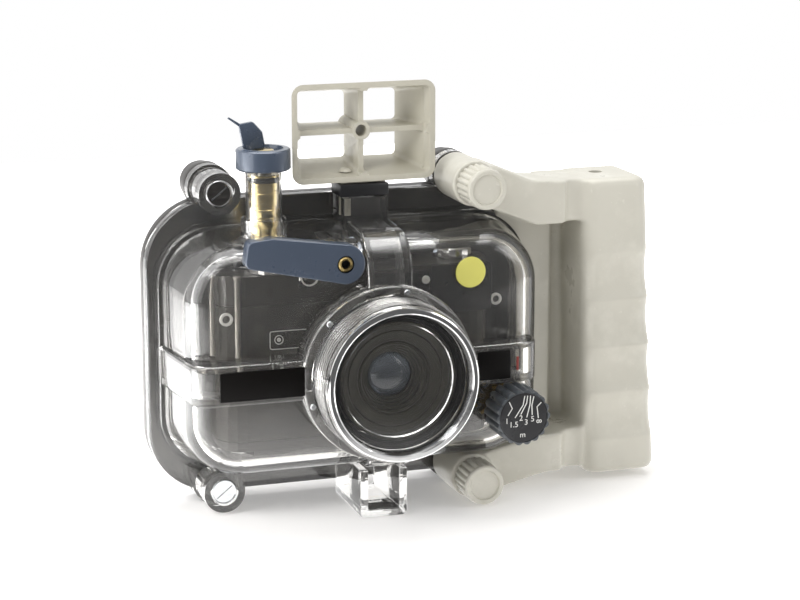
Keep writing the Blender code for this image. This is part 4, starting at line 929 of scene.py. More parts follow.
@dataclass
class FrontShell(Assembly):
    """Clear front half with its ridges, bosses, sleeve, pedestal and ears."""

    body: tuple = (-80.5, 72, 16.5, 113.5)
    corner: float = 22
    draft: float = 3.5
    side_draft: float = 5
    panel: float = 37
    wall: float = 4
    ridge_front: float = 48.5
    ridge_half: float = 8
    ridge_edge: float = 8

    def form(self, name: str, grow: float, start: float, reach: float, edge: float = 0,
             straight: bool = False) -> Piece:
        """Model the body's form, grown or shrunk.

        Args:
            name: Name of the new object.
            grow: How far its sides lie outside the body's.
            start: Distance of its back.
            reach: Distance of its front.
            edge: Radius round its front.
            straight: True for sides without draft.

        Returns:
            The form.
        """
        left, right, low, high = self.body
        side, draft = (0, 0) if straight else (self.side_draft, self.draft)
        back = (start, left - grow, right + grow, low - grow, high + grow)
        front = (reach, left - grow + side, right + grow - side, low - grow + draft, high + grow - draft)
        return self.bench.tray(name, back, front, self.corner + grow, edge, 14)

    def ridges(self, name: str, inset: float, back: float) -> list[Piece]:
        """Model the upright and the level ridge, or their hollow.

        Args:
            name: Start of both names.
            inset: How far the hollow lies inside the ridges, or 0.
            back: Distance of their backs.

        Returns:
            The two shapes.
        """
        left, right, low, high = self.body
        ahead, half, edge = self.ridge_front - inset, self.ridge_half - inset, self.ridge_edge - inset / 2
        low, high = low + self.draft + 1 + inset, high + 3 - inset
        upright = rounded([(back, low), (ahead, low, edge), (ahead, high - 3.2, edge + 7), (back, high)], 14)
        left, right = left - 1.2 + inset, right - 4.5 - inset
        level = rounded([(left, back), (left + self.side_draft, ahead, edge),
                         (right - self.side_draft, ahead, edge), (right, back)], 10)
        return [self.bench.slab(name + "_upright", SIDE, upright, -half, half + 2),
                self.bench.slab(name + "_level", LEVEL, level, LENS.place[1] - half, LENS.place[1] + half)]

    def build(self) -> None:
        """Model the shell."""
        bench = self.bench
        shell = bench.tray("clear_front", (0, *FLANGE), (5, *FLANGE), FLANGE_CORNER, 1.2, 14)
        groove = self.form("groove", 2.4, 4.4, 7.5, straight=True)
        bench.cut(groove, self.form("groove_core", 1.5, 4, 8, straight=True))
        bench.cut(shell, groove)
        bench.join(shell, self.form("ledge", 0.8, 1, 7.8, 0.4, straight=True))
        bench.join(shell, self.form("shell_form", 0, 1, self.panel, 9))
        ridges = self.ridges("ridge", 0, 2)
        for ridge in ridges:
            bench.soften(ridge, 1.1, 4, 60.0)
        bench.join(shell, *ridges)
        bench.bars(shell, bench.join, (
            ("seat", LENS, 34.5, 34, 44, 96), ("shutter_boss", SHUTTER, 7.5, 34, 40),
            ("focus_boss", FOCUS, 7, 34, 41), ("wind_boss", WIND, 9, 108, 118.5),
            ("wind_sleeve", WIND, 7.2, 110, 136.6)))
        bench.join(shell, bench.box("pedestal", (-9, 4.5, 111.5), (9, 19.5, 124.2)))
        for name, station in CLOSURES.items():
            bench.bars(shell, bench.join, [("ear", station, 9.2, 0.1, 4.9, 48)])
            if name in LEFT_CLOSURES:
                bench.bars(shell, bench.join, [("boss", station, 8.3, 0.3, 20, 48)])
        bench.cut(shell, self.form("cavity", -self.wall, -1, self.panel - self.wall, 5))
        bench.cut(shell, *self.ridges("channel", 3, 6))
        bench.bars(shell, bench.cut, (
            ("port_bore", LENS, 29.9, 28, 60, 96), ("port_rebate", LENS, 35.4, 44, 60, 96),
            ("shutter_bore", SHUTTER, 4.5, 25, 45, 32), ("crank_pocket", SHUTTER, 3.9, 16, 33, 32),
            ("focus_bore", FOCUS, 4.5, 25, 45, 32), ("wind_bore", WIND, 6.3, 100, 145, 64)))
        for name, station in CLOSURES.items():
            bench.bars(shell, bench.cut, [("shank", station, 3.2, -5, 30, 32)])
            if name in LEFT_CLOSURES:
                bench.bars(shell, bench.cut, [("head", station, 5.5, 13.8, 30, 32)])
        bench.soften(shell, 0.5, 2, 50.0)
        self.keep(shell, "clear_moulding", "clear_shell", "front_shell")


@dataclass
class RearCover(Assembly):
    """Dark rear tray with its gasket, window, ears and brass inserts."""

    window: Station = Station(Way.AHEAD, (6, 90))

    def build(self) -> None:
        """Model the cover and what sits in it."""
        bench = self.bench
        cover = bench.slab("dark_back", FLAT, panel(*FLANGE, FLANGE_CORNER, 14), -5.4, -0.4)
        bench.join(cover, bench.tray("tray", (-3, -80.5, 72, 16.5, 113.5), (-12.6, -77.5, 69, 19.5, 110.5),
                                     22, 4, 12))
        for station in CLOSURES.values():
            bench.bars(cover, bench.join, (("ear", station, 9.2, -5.3, -0.5, 48),
                                           ("boss", station, 8.3, -12, -0.7, 48)))
        bench.cut(cover, bench.tray("hollow", (2, -76.5, 68, 20.5, 109.5), (-9.1, -73.5, 65, 23.5, 106.5),
                                    18, 2, 10))
        for station in CLOSURES.values():
            bench.bars(cover, bench.cut, (("bore", station, 4.4, -20, -2.2, 32), ("shank", station, 3.2, -20, 5, 32)))
        bench.cut(cover, bench.round_bar("opening", self.window, 9.3, -30, -4, 48))
        bench.soften(cover, 0.6, 2, 50.0)
        self.keep(cover, "dark_cover", "dark_cover", "rear_cover", body="rear_cover")
        self.turned("back_window", self.window, (
            (0, -9.1), (8.7, -9.1), (9, -9.4), (9, -12.3), (8.7, -12.6), (0, -12.6)),
            "coated_glass", "clear_glass", "rear_window", body="rear_cover", sides=80)
        self.turned("back_window_ring", self.window, (
            (11.2, -12.9), (12, -13.3), (12, -14.5), (11.2, -15.1), (8.6, -15.1), (7.8, -14.6), (7.6, -12.9)),
            "black_plastic", "black_plastic", "rear_window_ring", body="rear_cover", sides=80)
        for name, station in CLOSURES.items():
            self.turned("insert_bush_" + name, station, (
                (4, -2.5), (4.2, -2.8), (4.2, -11.3), (3.9, -11.6), (3.5, -11.6), (3.2, -11.2), (3.2, -2.5)),
                "brass", "brass", "insert_" + name, body="rear_cover", sides=48)
        self.dress_nodes(main_gasket="seal_rubber")


@dataclass
class Port(Assembly):
    """Clear port barrel with its glass, bright rim, seal, black liner and base screws."""

    rings: tuple = (64, 61.9, 59.8, 57.7, 55.6, 53.5)
    screws: int = 6
    screw_circle: float = 32.8
    first_screw: float = 18.0

    def build(self) -> None:
        """Model the port."""
        barrel = [(30.2, 66.1), (30.6, 65.6)]
        for middle in self.rings:
            barrel += [(30.6, middle + 0.8), (31, middle + 0.7), (31.4, middle + 0.3),
                       (31.4, middle - 0.3), (31, middle - 0.7), (30.6, middle - 0.8)]
        barrel += [(31.2, 50.8), (31.6, 50), (34, 50), (34.8, 49.2), (34.8, 47.6), (34.2, 47.3), (34.2, 46.6),
                   (34.8, 46.3), (34.8, 44.3), (29.6, 44.3), (29.6, 34.2), (27, 34.2), (27, 61.2), (28.3, 61.2),
                   (28.3, 66.1)]
        self.turned("port_tube", LENS, barrel, "clear_moulding", "clear_shell", "port_barrel", sides=128, angle=50.0)
        self.turned("port_window", LENS, ((0, 65), (27.6, 65), (28, 64.6), (28, 62.6), (27.6, 62.2), (0, 62.2)),
                    "port_pane", "clear_glass", "port_glass", sides=96)
        self.turned("port_ring", LENS, (
            (29.6, 68), (30.1, 67.7), (30.3, 67.2), (30.3, 66.3), (28, 66.3), (28, 65.2), (27, 65.2),
            (27.3, 66.6), (27.7, 67.6), (28.2, 68)), "bright_chrome", "chrome", "port_rim", sides=128, angle=24.0)
        self.turned("port_sleeve", LENS, (
            (26.7, 60.8), (26.7, 46.2), (25.2, 46), (25.5, 47.5), (25.2, 49), (25.5, 50.5), (25.2, 52),
            (25.5, 53.5), (25.2, 55), (25.5, 56.5), (25.2, 60.8)),
            "liner_black", "black_plastic", "port_liner", sides=96, angle=20.0)
        self.turned("port_seal", LENS, ((27.9, 61.9), (27.9, 61.4), (27.1, 61.4), (27.1, 61.9), (27.5, 62)),
                    "seal_rubber", "seal_rubber", "port_oring", sides=96)
        screws = []
        for index in range(self.screws):
            turn = math.radians(self.first_screw) + math.tau * index / self.screws
            station = Station(Way.AHEAD, (LENS.place[0] + self.screw_circle * math.cos(turn),
                                          LENS.place[1] + self.screw_circle * math.sin(turn)))
            screws.append(self.bench.turning("screw", station, (
                (0, 50.4), (0.3, 50.4), (0.5, 50.8), (1, 50.8), (1.2, 50.6), (1.2, 49.8), (0, 49.8)), 20))
        self.keep(self.bench.gather("port_screws", screws), "plated_steel", "steel")


@dataclass
class Marks(Assembly):
    """Bare plates, the yellow dot and the red line."""

    dot: Station = Station(Way.AHEAD, (37.5, 95.4))

    def build(self) -> None:
        """Model the plates and prints."""
        for name, low, high in (("left", -67.6, -34.2), ("right", 36.5, 50)):
            plate = self.bench.box("bare_plate_" + name, (low, 48.8, 54.25), (high, 49.8, 65.75))
            self.bench.soften(plate, 0.2)
            self.keep(plate, "plate_black", "black_plastic", "nameplate_" + name)
        self.turned("yellow_spot", self.dot, ((0, 37.9), (5.9, 37.9), (6.2, 37.7), (6.2, 37.3), (0, 37.3)),
                    "yellow_print", "yellow_mark", "yellow_dot")
        line = self.bench.box("red_line", (52.7, 48.8, 57.2), (53.7, 49.4, 62.8))
        self.bench.soften(line, 0.25)
        self.keep(line, "red_print", "red_mark", "index_mark")


@dataclass
class Closing(Assembly):
    """Slotted screws on the left and ribbed thumb knobs on the right."""

    def ribbed(self, name: str, station: Station, radius: float, depth: float, ribs: int, low: float,
               high: float) -> Piece:
        """Model a knob barrel with round ribs.

        Args:
            name: Name of the new object.
            station: Where it stands.
            radius: Radius over the ribs.
            depth: Depth of the grooves.
            ribs: Number of ribs.
            low: Distance of its back.
            high: Distance of its front.

        Returns:
            The barrel.
        """
        outline: list[Pair] = []
        for index in range(ribs * 6):
            turn = math.tau * index / (ribs * 6)
            wave = 0.5 + 0.5 * math.cos(turn * ribs)
            reach = metres(radius - depth * (1 - wave ** 0.45))
            outline.append((reach * math.cos(turn), reach * math.sin(turn)))
        return self.bench.slab(name, station, outline, low, high)

    def build(self) -> None:
        """Model the screws and knobs."""
        bench = self.bench
        for name, station in LEFT_CLOSURES.items():
            screw = bench.turning("screw_" + name, station, (
                (0, 18.7), (0.3, 18.7), (0.6, 19), (4.4, 19), (4.7, 19.2), (5, 19.1), (5.2, 18.7), (5.2, 14.2),
                (2.9, 14.2), (2.9, -10.2), (0, -10.8)), 64)
            bench.cut(screw, bench.slab("slot", station, ribbon([(-3, -2.4), (3, 2.4)], 0.4), 18.6, 22))
            body = "closing_screw_" + name
            self.keep(screw, "dark_screw" if name == "top_left" else "plated_steel", "steel", body, body=body)
            self.second(screw, "plated_steel", station, lambda out, ahead: not 0.2 < out < 4.55)
        for name, station in RIGHT_CLOSURES.items():
            knob = self.ribbed("thumb_knob_" + name, station, 8.3, 0.9, 20, 30.4, 42.1)
            bench.soften(knob, 0.6, 2, 60.0)
            bench.join(knob, bench.turning("core", station, (
                (0, 43.2), (5.8, 43.2), (6.2, 44), (7.4, 44), (7.9, 43.6), (8.1, 42.7), (7.9, 41.9), (7.2, 41.6),
                (7.2, 31.2), (2.9, 31.2), (2.9, -10.2), (0, -10.8)), 64))
            body = "grip_knob_" + name
            self.keep(knob, "grip_plastic", "grip_plastic", body, body=body)


@dataclass
class Grip(Assembly):
    """Side grip with two arms, a web, the recess wall and the waved handle."""

    join_at: float = 92.5
    crest: float = 57.1
    pitch: float = 19.5
    dip: float = 2.1
    top: float = 127
    fall: float = 124.5
    flare: Pair = (3, 6.5)

    def handle(self) -> Piece:
        """Model the handle, flared to the right as it goes down, its long front edges rounded.

        Returns:
            The handle.
        """
        piece = self.bench.box("handle", (90.5, -7, 3), (118.5, 26, self.top))
        self.bench.edit(piece)
        mesh = bmesh.from_edit_mesh(piece.data)
        for vert in mesh.verts:
            share = (metres(self.top) - vert.co.z) / metres(self.fall)
            vert.co.x += metres(self.flare[vert.co.x > metres(110)]) * share
        bmesh.update_edit_mesh(piece.data)
        front = PARTING - metres(25.5)
        for left, right in ((90, 94.5), (118, 126)):
            self.bench.pick("EDGE", lambda co: metres(left) < co.x < metres(right) and co.y < front)
            bpy.ops.mesh.bevel(offset=metres(6), segments=8, affect="EDGES")
        self.bench.leave()
        self.bench.soften(piece, 3.5, 4, 50.0)
        return piece

    def wave(self, piece: Piece) -> None:
        """Press the finger hollows into the handle's front, with crests between them.

        Args:
            piece: The grip, whose vertices are moved back.
        """
        low, high = self.crest - 2 * self.pitch, self.crest + 2 * self.pitch
        start, deep, blend, rise = self.join_at, 4, 4, 16
        for vert in piece.data.vertices:
            x, ahead, height = 1000 * vert.co.x, 1000 * (PARTING - vert.co.y), 1000 * vert.co.z
            if x < start or not low < height < high or ahead < deep:
                continue
            share = min((x - start) / blend, 1.0) * min((ahead - deep) / rise, 1.0)
            phase = (height - low) / self.pitch % 1.0
            vert.co.y += metres(self.dip * share * math.sin(math.pi * phase) ** 0.75)

    def build(self) -> None:
        """Model the grip as one moulding."""
        bench = self.bench
        (x, top), (_, low) = (station.place for station in RIGHT_CLOSURES.values())
        end = self.join_at
        upper = rounded([(x, top + 8), (x + 9.5, top + 6.2, 8), (x + 26, top - 0.8, 20), (end, top - 2.2),
                         (end, top - 19), (x + 28, top - 19, 4), (x, top - 8)])
        lower = rounded([(x, low - 7), (x + 10, low - 7.8, 8), (x + 32, low - 2.7, 20), (end, low - 2.7),
                         (end, low + 14), (x + 28, low + 13, 4), (x, low + 7)])
        grip = bench.round_bar("side_grip", CLOSURES["top_right"], 9.2, 5.3, 29.7, 64)
        bench.join(grip, bench.slab("upper", FLAT, upper, 5.5, 27))
        bench.join(grip, bench.slab("lower", FLAT, lower, 5.5, 27))
        bench.join(grip, bench.round_bar("lower_boss", CLOSURES["bottom_right"], 9.2, 5.3, 29.7, 64))
        for name, first, last in (
                ("wall", (79.5, -5.8, 8), (end, -2, 125)), ("web", (78.5, -6, 7), (83.2, 6.6, 126)),
                ("web_step", (82.5, -6, 10), (86.6, 1.2, 124)), ("web_lip", (59, 5.4, 18.5), (83, 8.2, 114.5)),
                ("upper_end", (79, -5.7, top - 18.7), (end - 1, 26.4, top - 2.6)),
                ("lower_end", (79, -5.7, low - 2.4), (end - 1, 26.4, low + 13.7))):
            bench.join(grip, bench.box(name, first, last))
        bench.join(grip, self.handle())
        bench.cut(grip, bench.round_bar("valley", Station(Way.UP, (87.8, 29)), 6.4, -10, 150, 48))
        bench.modify(grip, "REMESH", mode="VOXEL", voxel_size=metres(0.9))
        bench.modify(grip, "SMOOTH", factor=0.5, iterations=6)
        self.wave(grip)
        shell = FrontShell(bench, self.palette, self.nodes)
        bench.cut(grip, shell.form("relief", 1.2, -2, 38, 9))
        for station in RIGHT_CLOSURES.values():
            bench.cut(grip, bench.round_bar("bore", station, 3.2, -2, 35, 32))
        bench.cut(grip, bench.round_bar("lanyard", Station(Way.UP, (102.5, 8)), 2.8, 115.5, 129.5, 32))
        self.keep(grip, "grip_plastic", "grip_plastic", "grip_handle", angle=60.0)


@dataclass
class Finder(Assembly):
    """Sports finder with a recessed cross and a sight tube, on its shoe."""

    half: Pair = (29.4, 19.6)
    taper: Pair = (7.3, 4.5)
    axis: float = 150
    rim: float = 2.2
    rib: float = 1.1

    def block(self, name: str, sides: Sequence[float], over: float, corner: float) -> Piece:
        """Model a block that narrows towards the back.

        Args:
            name: Name of the new object.
            sides: Its left, right, bottom and top in the front plane, from the axis.
            over: How far it reaches past both planes.
            corner: Radius of its long corners.

        Returns:
            The block.
        """
        across, up = (1 - self.taper[0] / self.half[0], 1 - self.taper[1] / self.half[1])
        left, right, low, high = sides
        rear = (-6.3 - over, left * across, right * across, self.axis + low * up, self.axis + high * up)
        front = (18 + over, left, right, self.axis + low, self.axis + high)
        return self.bench.tray(name, rear, front, corner, 0, 8)

    def build(self) -> None:
        """Model the finder."""
        bench = self.bench
        wide, high = self.half
        frame = self.block("sports_finder", (-wide, wide, -high, high), 0, 4.5)
        bench.join(frame, bench.box("foot", (-9, 7.5, 129.8), (9, 16.5, self.axis - high + 3)))
        inner, tall, rib = wide - self.rim, high - self.rim, self.rib
        for left, right in ((-inner, -rib), (rib, inner)):
            for low, top in ((-tall, -rib), (rib, tall)):
                bench.cut(frame, self.block("cell", (left, right, low, top), 0.2, 1.8))
        bench.cut(frame, bench.box("recess", (1.2 - inner, 13.5, self.axis - tall + 1.2),
                                   (inner - 1.2, 19, self.axis + tall - 1.2)))
        centre = Station(Way.AHEAD, (0, self.axis))
        bench.join(frame, bench.round_bar("tube", centre, 3.7, -5.3, 14.1, 48))
        bench.cut(frame, bench.round_bar("sight", centre, 2.35, -12, 23, 32))
        bench.soften(frame, 0.5, 3, 45.0)
        # The finder's finish is painted darker to stand in for the shade inside its cells.
        self.keep(frame, "finder_plastic_shade_darkened", "grip_plastic", "finder_frame")
        shoe = bench.box("cold_shoe", (-10, 5.5, 124.5), (10, 18.5, 129.5))
        bench.soften(shoe, 0.6)
        self.keep(shoe, "black_plastic", "black_plastic", "finder_shoe")
        self.dress_nodes(finder_screw="finder_plastic_shade_darkened")


@dataclass
class WindControl(Assembly):
    """Film advance: brass gland in the clear sleeve, shaft, blue cap with its tab."""

    def build(self) -> None:
        """Model the control."""
        bench = self.bench
        self.turned("wind_bush", WIND, (
            (5.8, 136), (6.1, 135.7), (6.1, 135), (4.8, 135), (4.8, 132.8), (6.1, 132.8), (6.1, 130),
            (5.9, 129.7), (5.9, 128.9), (6.1, 128.6), (6.1, 124), (5.8, 123.7), (5.8, 122.6), (6.1, 122.3),
            (6.1, 116.8), (5.3, 115), (5.3, 107.2), (3.3, 107.2), (3.3, 136)), "brass", "brass", "wind_gland")
        self.turned("wind_seal", WIND, (
            (6, 134.6), (6.2, 134.2), (6.2, 133.6), (6, 133.2), (5.4, 132.9), (4.9, 133.1), (4.9, 134.7),
            (5.4, 134.9)), "seal_rubber", "seal_rubber", "wind_oring")
        cap = bench.turning("wind_cap", WIND, (
            (7.8, 146), (8.3, 145.8), (10, 145.8), (10.6, 145.3), (10.7, 144.7), (10.7, 138.2), (10.1, 137.6),
            (3.3, 137.6), (3.3, 143.2), (7, 143.2), (7.4, 143.6)), 96)
        tab = rounded([(-46.3, 139.6), (-39.3, 139.6), (-38.3, 146.2), (-39.2, 151, 2), (-42.9, 155.1, 1.5),
                       (-48.7, 154.3, 0.7), (-47.1, 145.9)], 6)
        fin = rounded([(-48, 153), (-47.6, 154.2), (-52.4, 157.2), (-52.9, 156.6)])
        for name, outline, low, high, edge in (("tab", tab, 8.7, 10.9, 0.5), ("fin", fin, 9.1, 10.5, 0.2)):
            blade = bench.slab(name, FLAT, outline, low, high)
            bench.soften(blade, edge)
            bench.join(cap, blade)
        self.keep(cap, "blue_enamel", "blue_paint", "wind_lever", body="wind_lever")
        screw = bench.turning("wind_cap_screw", WIND, (
            (0, 145.4), (3.6, 145.4), (4.6, 144.8), (4.6, 143.4), (1.2, 143.4), (1.2, 135.8), (0, 135.8)), 48)
        bench.cut(screw, bench.box("slot", (-44.5, 17.5, 144.4), (-37.5, 18.5, 147)))
        self.keep(screw, "brass", "brass", "wind_lever_screw", body="wind_lever")
        self.dress_nodes(wind_shaft="plated_steel", wind_driver="black_plastic", camera_wind_lever="bright_chrome")


@dataclass
class ShutterControl(Assembly):
    """Shutter release: long blue lever on a brass gland, shaft, crank and spring."""

    length: float = 39.2
    tilt: float = 8.7

    def build(self) -> None:
        """Model the control."""
        bench = self.bench
        end = -self.length
        outline = arc(7.8, -88.0, 88.0, 16)
        outline += rounded([(0, 7.6), (end + 9, 7.2, 4), (end, 5, 2.5), (end, -5, 2.5), (0, -7.6)], 6)
        turn = Matrix.Rotation(math.radians(-self.tilt), 2)
        lever = bench.slab("release_lever", SHUTTER, [tuple(turn @ Vector(point)) for point in outline], 43.8, 50.5)
        bench.soften(lever, 0.7, 3, 50.0)
        bench.bars(lever, bench.cut, (("bore", SHUTTER, 2.5, 40, 47.2, 32), ("head_bore", SHUTTER, 3.4, 46.9, 53, 32)))
        self.keep(lever, "blue_enamel", "blue_paint", "shutter_lever", body="shutter_lever")
        screw = self.turned("release_screw", SHUTTER, (
            (0, 47.8), (1.5, 47.8), (1.5, 50), (1.8, 50.6), (2.4, 50.9), (2.9, 50.4), (3, 47.2), (1, 47.2),
            (1, 39.9), (0, 39.9)), "dull_brass", "brass", "shutter_lever_screw", body="shutter_lever", sides=48)
        self.second(screw, "seal_rubber", SHUTTER, lambda out, ahead: out < 1.6 and ahead > 47)
        self.turned("release_bush", SHUTTER, (
            (5.8, 42.2), (6.2, 41.8), (6.2, 40.3), (4.2, 40.3), (4.2, 31), (2.5, 31), (2.5, 42.2)),
            "brass", "brass", "shutter_gland")
        self.dress_nodes(shutter_shaft="plated_steel", shutter_crank="brass", shutter_spring="plated_steel",
                         shutter_oring="seal_rubber", camera_shutter_button="bright_chrome")


@dataclass
class FocusControl(Assembly):
    """Focus knob with its dial, and the brass gears behind the panel."""

    fan: tuple = (
        ((-6.2, 6.9), (-4.9, 4.2), (-6.7, 1.4)), ((0.3, 8.9), (-0.4, 5.2), (-3.7, 0.3)),
        ((1.5, 8.9), (1.1, 5.9), (-1.3, 1.5)), ((2.7, 8.8), (2.5, 5.2), (1.2, 0.1)),
        ((4.1, 8.4), (3.3, 4.9), (3.5, 0.9)), ((7.3, 5.7), (5.5, 4.1), (6.1, -0.6)))
    figures: tuple = (("1", -7.1, -0.9, 0.0), ("1.5", -4.2, -2.5, 0.0), ("2", -1.2, -0.1, 0.0),
                      ("3", 1.0, -1.9, 0.0), ("5", 3.7, -0.8, 0.0), ("8", 6.3, -1.9, math.pi / 2),
                      ("m", -0.4, -6.9, 0.0))
    figure_size: float = 3.2

    def build(self) -> None:
        """Model the knob and dress the drive."""
        bench = self.bench
        closing = Closing(bench, self.palette, self.nodes)
        knob = closing.ribbed("distance_knob", FOCUS, 11.4, 1.2, 18, 43.2, 58)
        bench.soften(knob, 0.5, 2, 60.0)
        bench.bars(knob, bench.cut, (("seat", FOCUS, 10.1, 57.1, 61, 64), ("bore", FOCUS, 2.8, 41, 53.4, 32)))
        self.keep(knob, "knob_grey", "black_plastic", "focus_knob", body="focus_knob")
        self.turned("distance_dial", FOCUS, ((0, 58), (9.6, 58), (9.9, 57.8), (9.9, 57.4), (0, 57.4)),
                    "black_plastic", "black_plastic", "focus_dial", body="focus_knob")
        self.numbers()
        self.turned("focus_bush", FOCUS, (
            (6.1, 42.8), (6.5, 42.4), (6.5, 41.3), (4.2, 41.3), (4.2, 31.2), (2.8, 31.2), (2.8, 42.8)),
            "brass", "brass", "focus_gland")
        self.dress_nodes(focus_shaft="plated_steel", focus_pinion="dull_brass", focus_idler="dull_brass",
                         focus_idler_pin="plated_steel")

    def numbers(self) -> None:
        """Model the lines that fan out over the dial, and its distances."""
        prints = [self.bench.slab("fan", FOCUS, ribbon(points, 0.19), 57.9, 58.1) for points in self.fan]
        prints += [self.bench.figure("figure", text, FOCUS.at(u, v, 58.02), self.figure_size, turn)
                   for text, u, v, turn in self.figures]
        self.keep(self.bench.gather("dial_numbers", prints), "white_print_and_glint", "grip_plastic", body="focus_knob")


@dataclass
class InnerCamera(Assembly):
    """The compact camera behind the port, with its lens, and the clear foot below them."""

    badge: tuple = (-41.7, -12, 67.5, 74.9)
    badge_line: float = 0.3

    def build(self) -> None:
        """Model the camera's visible pieces and dress the rest."""
        barrel = self.turned("camera_lens_ring", LENS, (
            (0, 44), (8.9, 44), (9, 48.4), (9.7, 48.7), (9.9, 50), (10.6, 50.3), (10.9, 51.4), (11.6, 51.6),
            (11.9, 52.6), (12.8, 52.8), (13.1, 53.5), (13.9, 53.6), (14.2, 53.1), (14.6, 53.1), (14.9, 53.7),
            (18.7, 55), (18.9, 54.6), (19.2, 54.6), (19.4, 55.2), (21.3, 56), (22, 58.6), (22.4, 59), (23.1, 59),
            (23.6, 58.6), (23.7, 56), (23.3, 55.7), (23.3, 54.8), (23.7, 54.5), (23.7, 37.8), (0, 37.8)),
            "lens_enamel", "chrome", "lens_front_ring", sides=96, angle=24.0)
        self.second(barrel, "bright_chrome", LENS, lambda out, ahead: 21.4 < out < 22.5 and ahead > 56)
        self.turned("camera_lens_glass", LENS, (
            (0, 50.2), (2.2, 50.1), (4.4, 49.75), (6.4, 49.1), (7.9, 48.3), (8.7, 47.7), (8.7, 44.6), (0, 44.6)),
            "coated_glass", "clear_glass", "lens_glass", sides=80, angle=45.0)
        self.front_details()
        self.foot()
        self.dress_nodes(camera_body="camera_leather", camera_top_cover="camera_enamel",
                         camera_bottom_cover="camera_enamel", camera_back_door="camera_leather",
                         rewind_knob="bright_chrome", camera_cradle="dark_cover", lens_barrel="camera_enamel",
                         lens_focus_ring="camera_enamel")

    def hoop(self, name: str, place: Pair, radius: float, width: float, low: float, high: float) -> Piece:
        """Model a flat ring on the camera's face.

        Args:
            name: Name of the new object.
            place: Its middle as x and height.
            radius: Radius of its middle line.
            width: Half the width of the line.
            low: Distance of its back.
            high: Distance of its front.

        Returns:
            The ring.
        """
        out, inside = radius + width, radius - width
        return self.bench.turning(name, Station(Way.AHEAD, place), (
            (out, high - 0.1), (out - 0.1, high), (inside + 0.1, high), (inside, high - 0.1), (inside, low),
            (out, low)), 40)

    def front_details(self) -> None:
        """Model strap rods and eyelets, the bare badge frame, the view plate and its window."""
        bench = self.bench
        trim = [bench.round_bar(name, Station(Way.UP, place), *sizes, 24) for name, place, *sizes in (
            ("rod", (-54.8, 26.6), 1.1, 65.5, 96.6), ("rod_cap", (-54.8, 26.6), 1.5, 96.6, 98),
            ("side_rod", (-62.6, 19), 0.9, 65.5, 97.6))]
        for piece in trim:
            bench.soften(piece, 0.3)
        self.keep(bench.gather("strap_rods", trim), "satin_alloy", "chrome")
        # Painted glint: these chrome eyelets, rings, dome and badge frame are painted flat white where the metal would
        # shine.
        rings = [self.hoop(*row) for row in (
            ("eyelet", (-58.9, 81), 2.1, 0.5, 24.6, 25.6), ("eyelet", (52.3, 81.2), 1.9, 0.5, 25, 25.8),
            ("cell_ring", (-25.3, 95.3), 3.3, 0.3, 24.9, 25.6), ("badge_sun", (-37.9, 71.3), 1.7, 0.16, 24.9, 25.3),
            ("sun_dot", (-37.9, 71.3), 0.5, 0.3, 24.9, 25.3), ("release_dome", (22.2, 91.5), 0.9, 0.7, 26, 26.8))]
        left, right, low, high = self.badge
        line = self.badge_line
        frame = bench.slab("badge_frame", FLAT, panel(*self.badge, 1, 4), 24.9, 25.3)
        inside = panel(left + line, right - line, low + line, high - line, 0.8, 4)
        bench.cut(frame, bench.slab("badge_inside", FLAT, inside, 24, 26))
        self.keep(bench.gather("camera_trim", rings + [frame]), "white_print_and_glint", "chrome")
        plate = bench.slab("view_plate", FLAT, panel(24.6, 50.3, 77.2, 96.6, 1.2, 5), 25.2, 25.8)
        bench.soften(plate, 0.2)
        self.keep(plate, "view_black", "camera_black")
        window = bench.slab("view_window", FLAT, panel(-6, 24, 86.7, 95.4, 1.2, 5), 25.3, 26.1)
        for low, high in ((-4.5, 3.5), (6, 13), (15, 22.2)):
            bench.cut(window, bench.box("recess", (low, 25.7, 88.2), (high, 27, 93.9)))
        bench.soften(window, 0.2)
        self.keep(window, "view_black", "clear_glass", "camera_window")

    def foot(self) -> None:
        """Model the clear foot under the shell."""
        side = rounded([(-9.7, 19.5), (-9.7, 0, 1.8), (9.7, 0, 1.8), (9.7, 19.5), (6.4, 19.5), (6.4, 3.2, 0.8),
                        (-6.4, 3.2, 0.8), (-6.4, 19.5)], 6)
        foot = self.bench.slab("clear_foot", FLAT, side, 8, 42)
        self.bench.soften(foot, 0.4, 3, 50.0)
        shell = FrontShell(self.bench, self.palette, self.nodes)
        self.bench.cut(foot, shell.form("foot_relief", 0.3, 0, 37.3, 9))
        self.keep(foot, "clear_moulding", "clear_shell", "foot_bracket")


@dataclass(frozen=True)
class Lamp:
    """One soft area light. Sizes are in metres, the power in watts."""

    name: str
    place: tuple
    size: Pair
    power: float
    target: tuple = (0.0, 0.0, 0.07)
    mirrored: bool = True

    def light(self) -> None:
        """Add the light to the scene, facing its target."""
        light = bpy.data.lights.new(self.name, "AREA")
        light.shape = "RECTANGLE"
        light.size, light.size_y = self.size
        light.energy = self.power
        item = bpy.data.objects.new(self.name, light)
        bpy.context.scene.collection.objects.link(item)
        item.location = self.place
        item.rotation_euler = (Vector(self.target) - Vector(self.place)).to_track_quat("-Z", "Y").to_euler()
        item.visible_glossy = self.mirrored


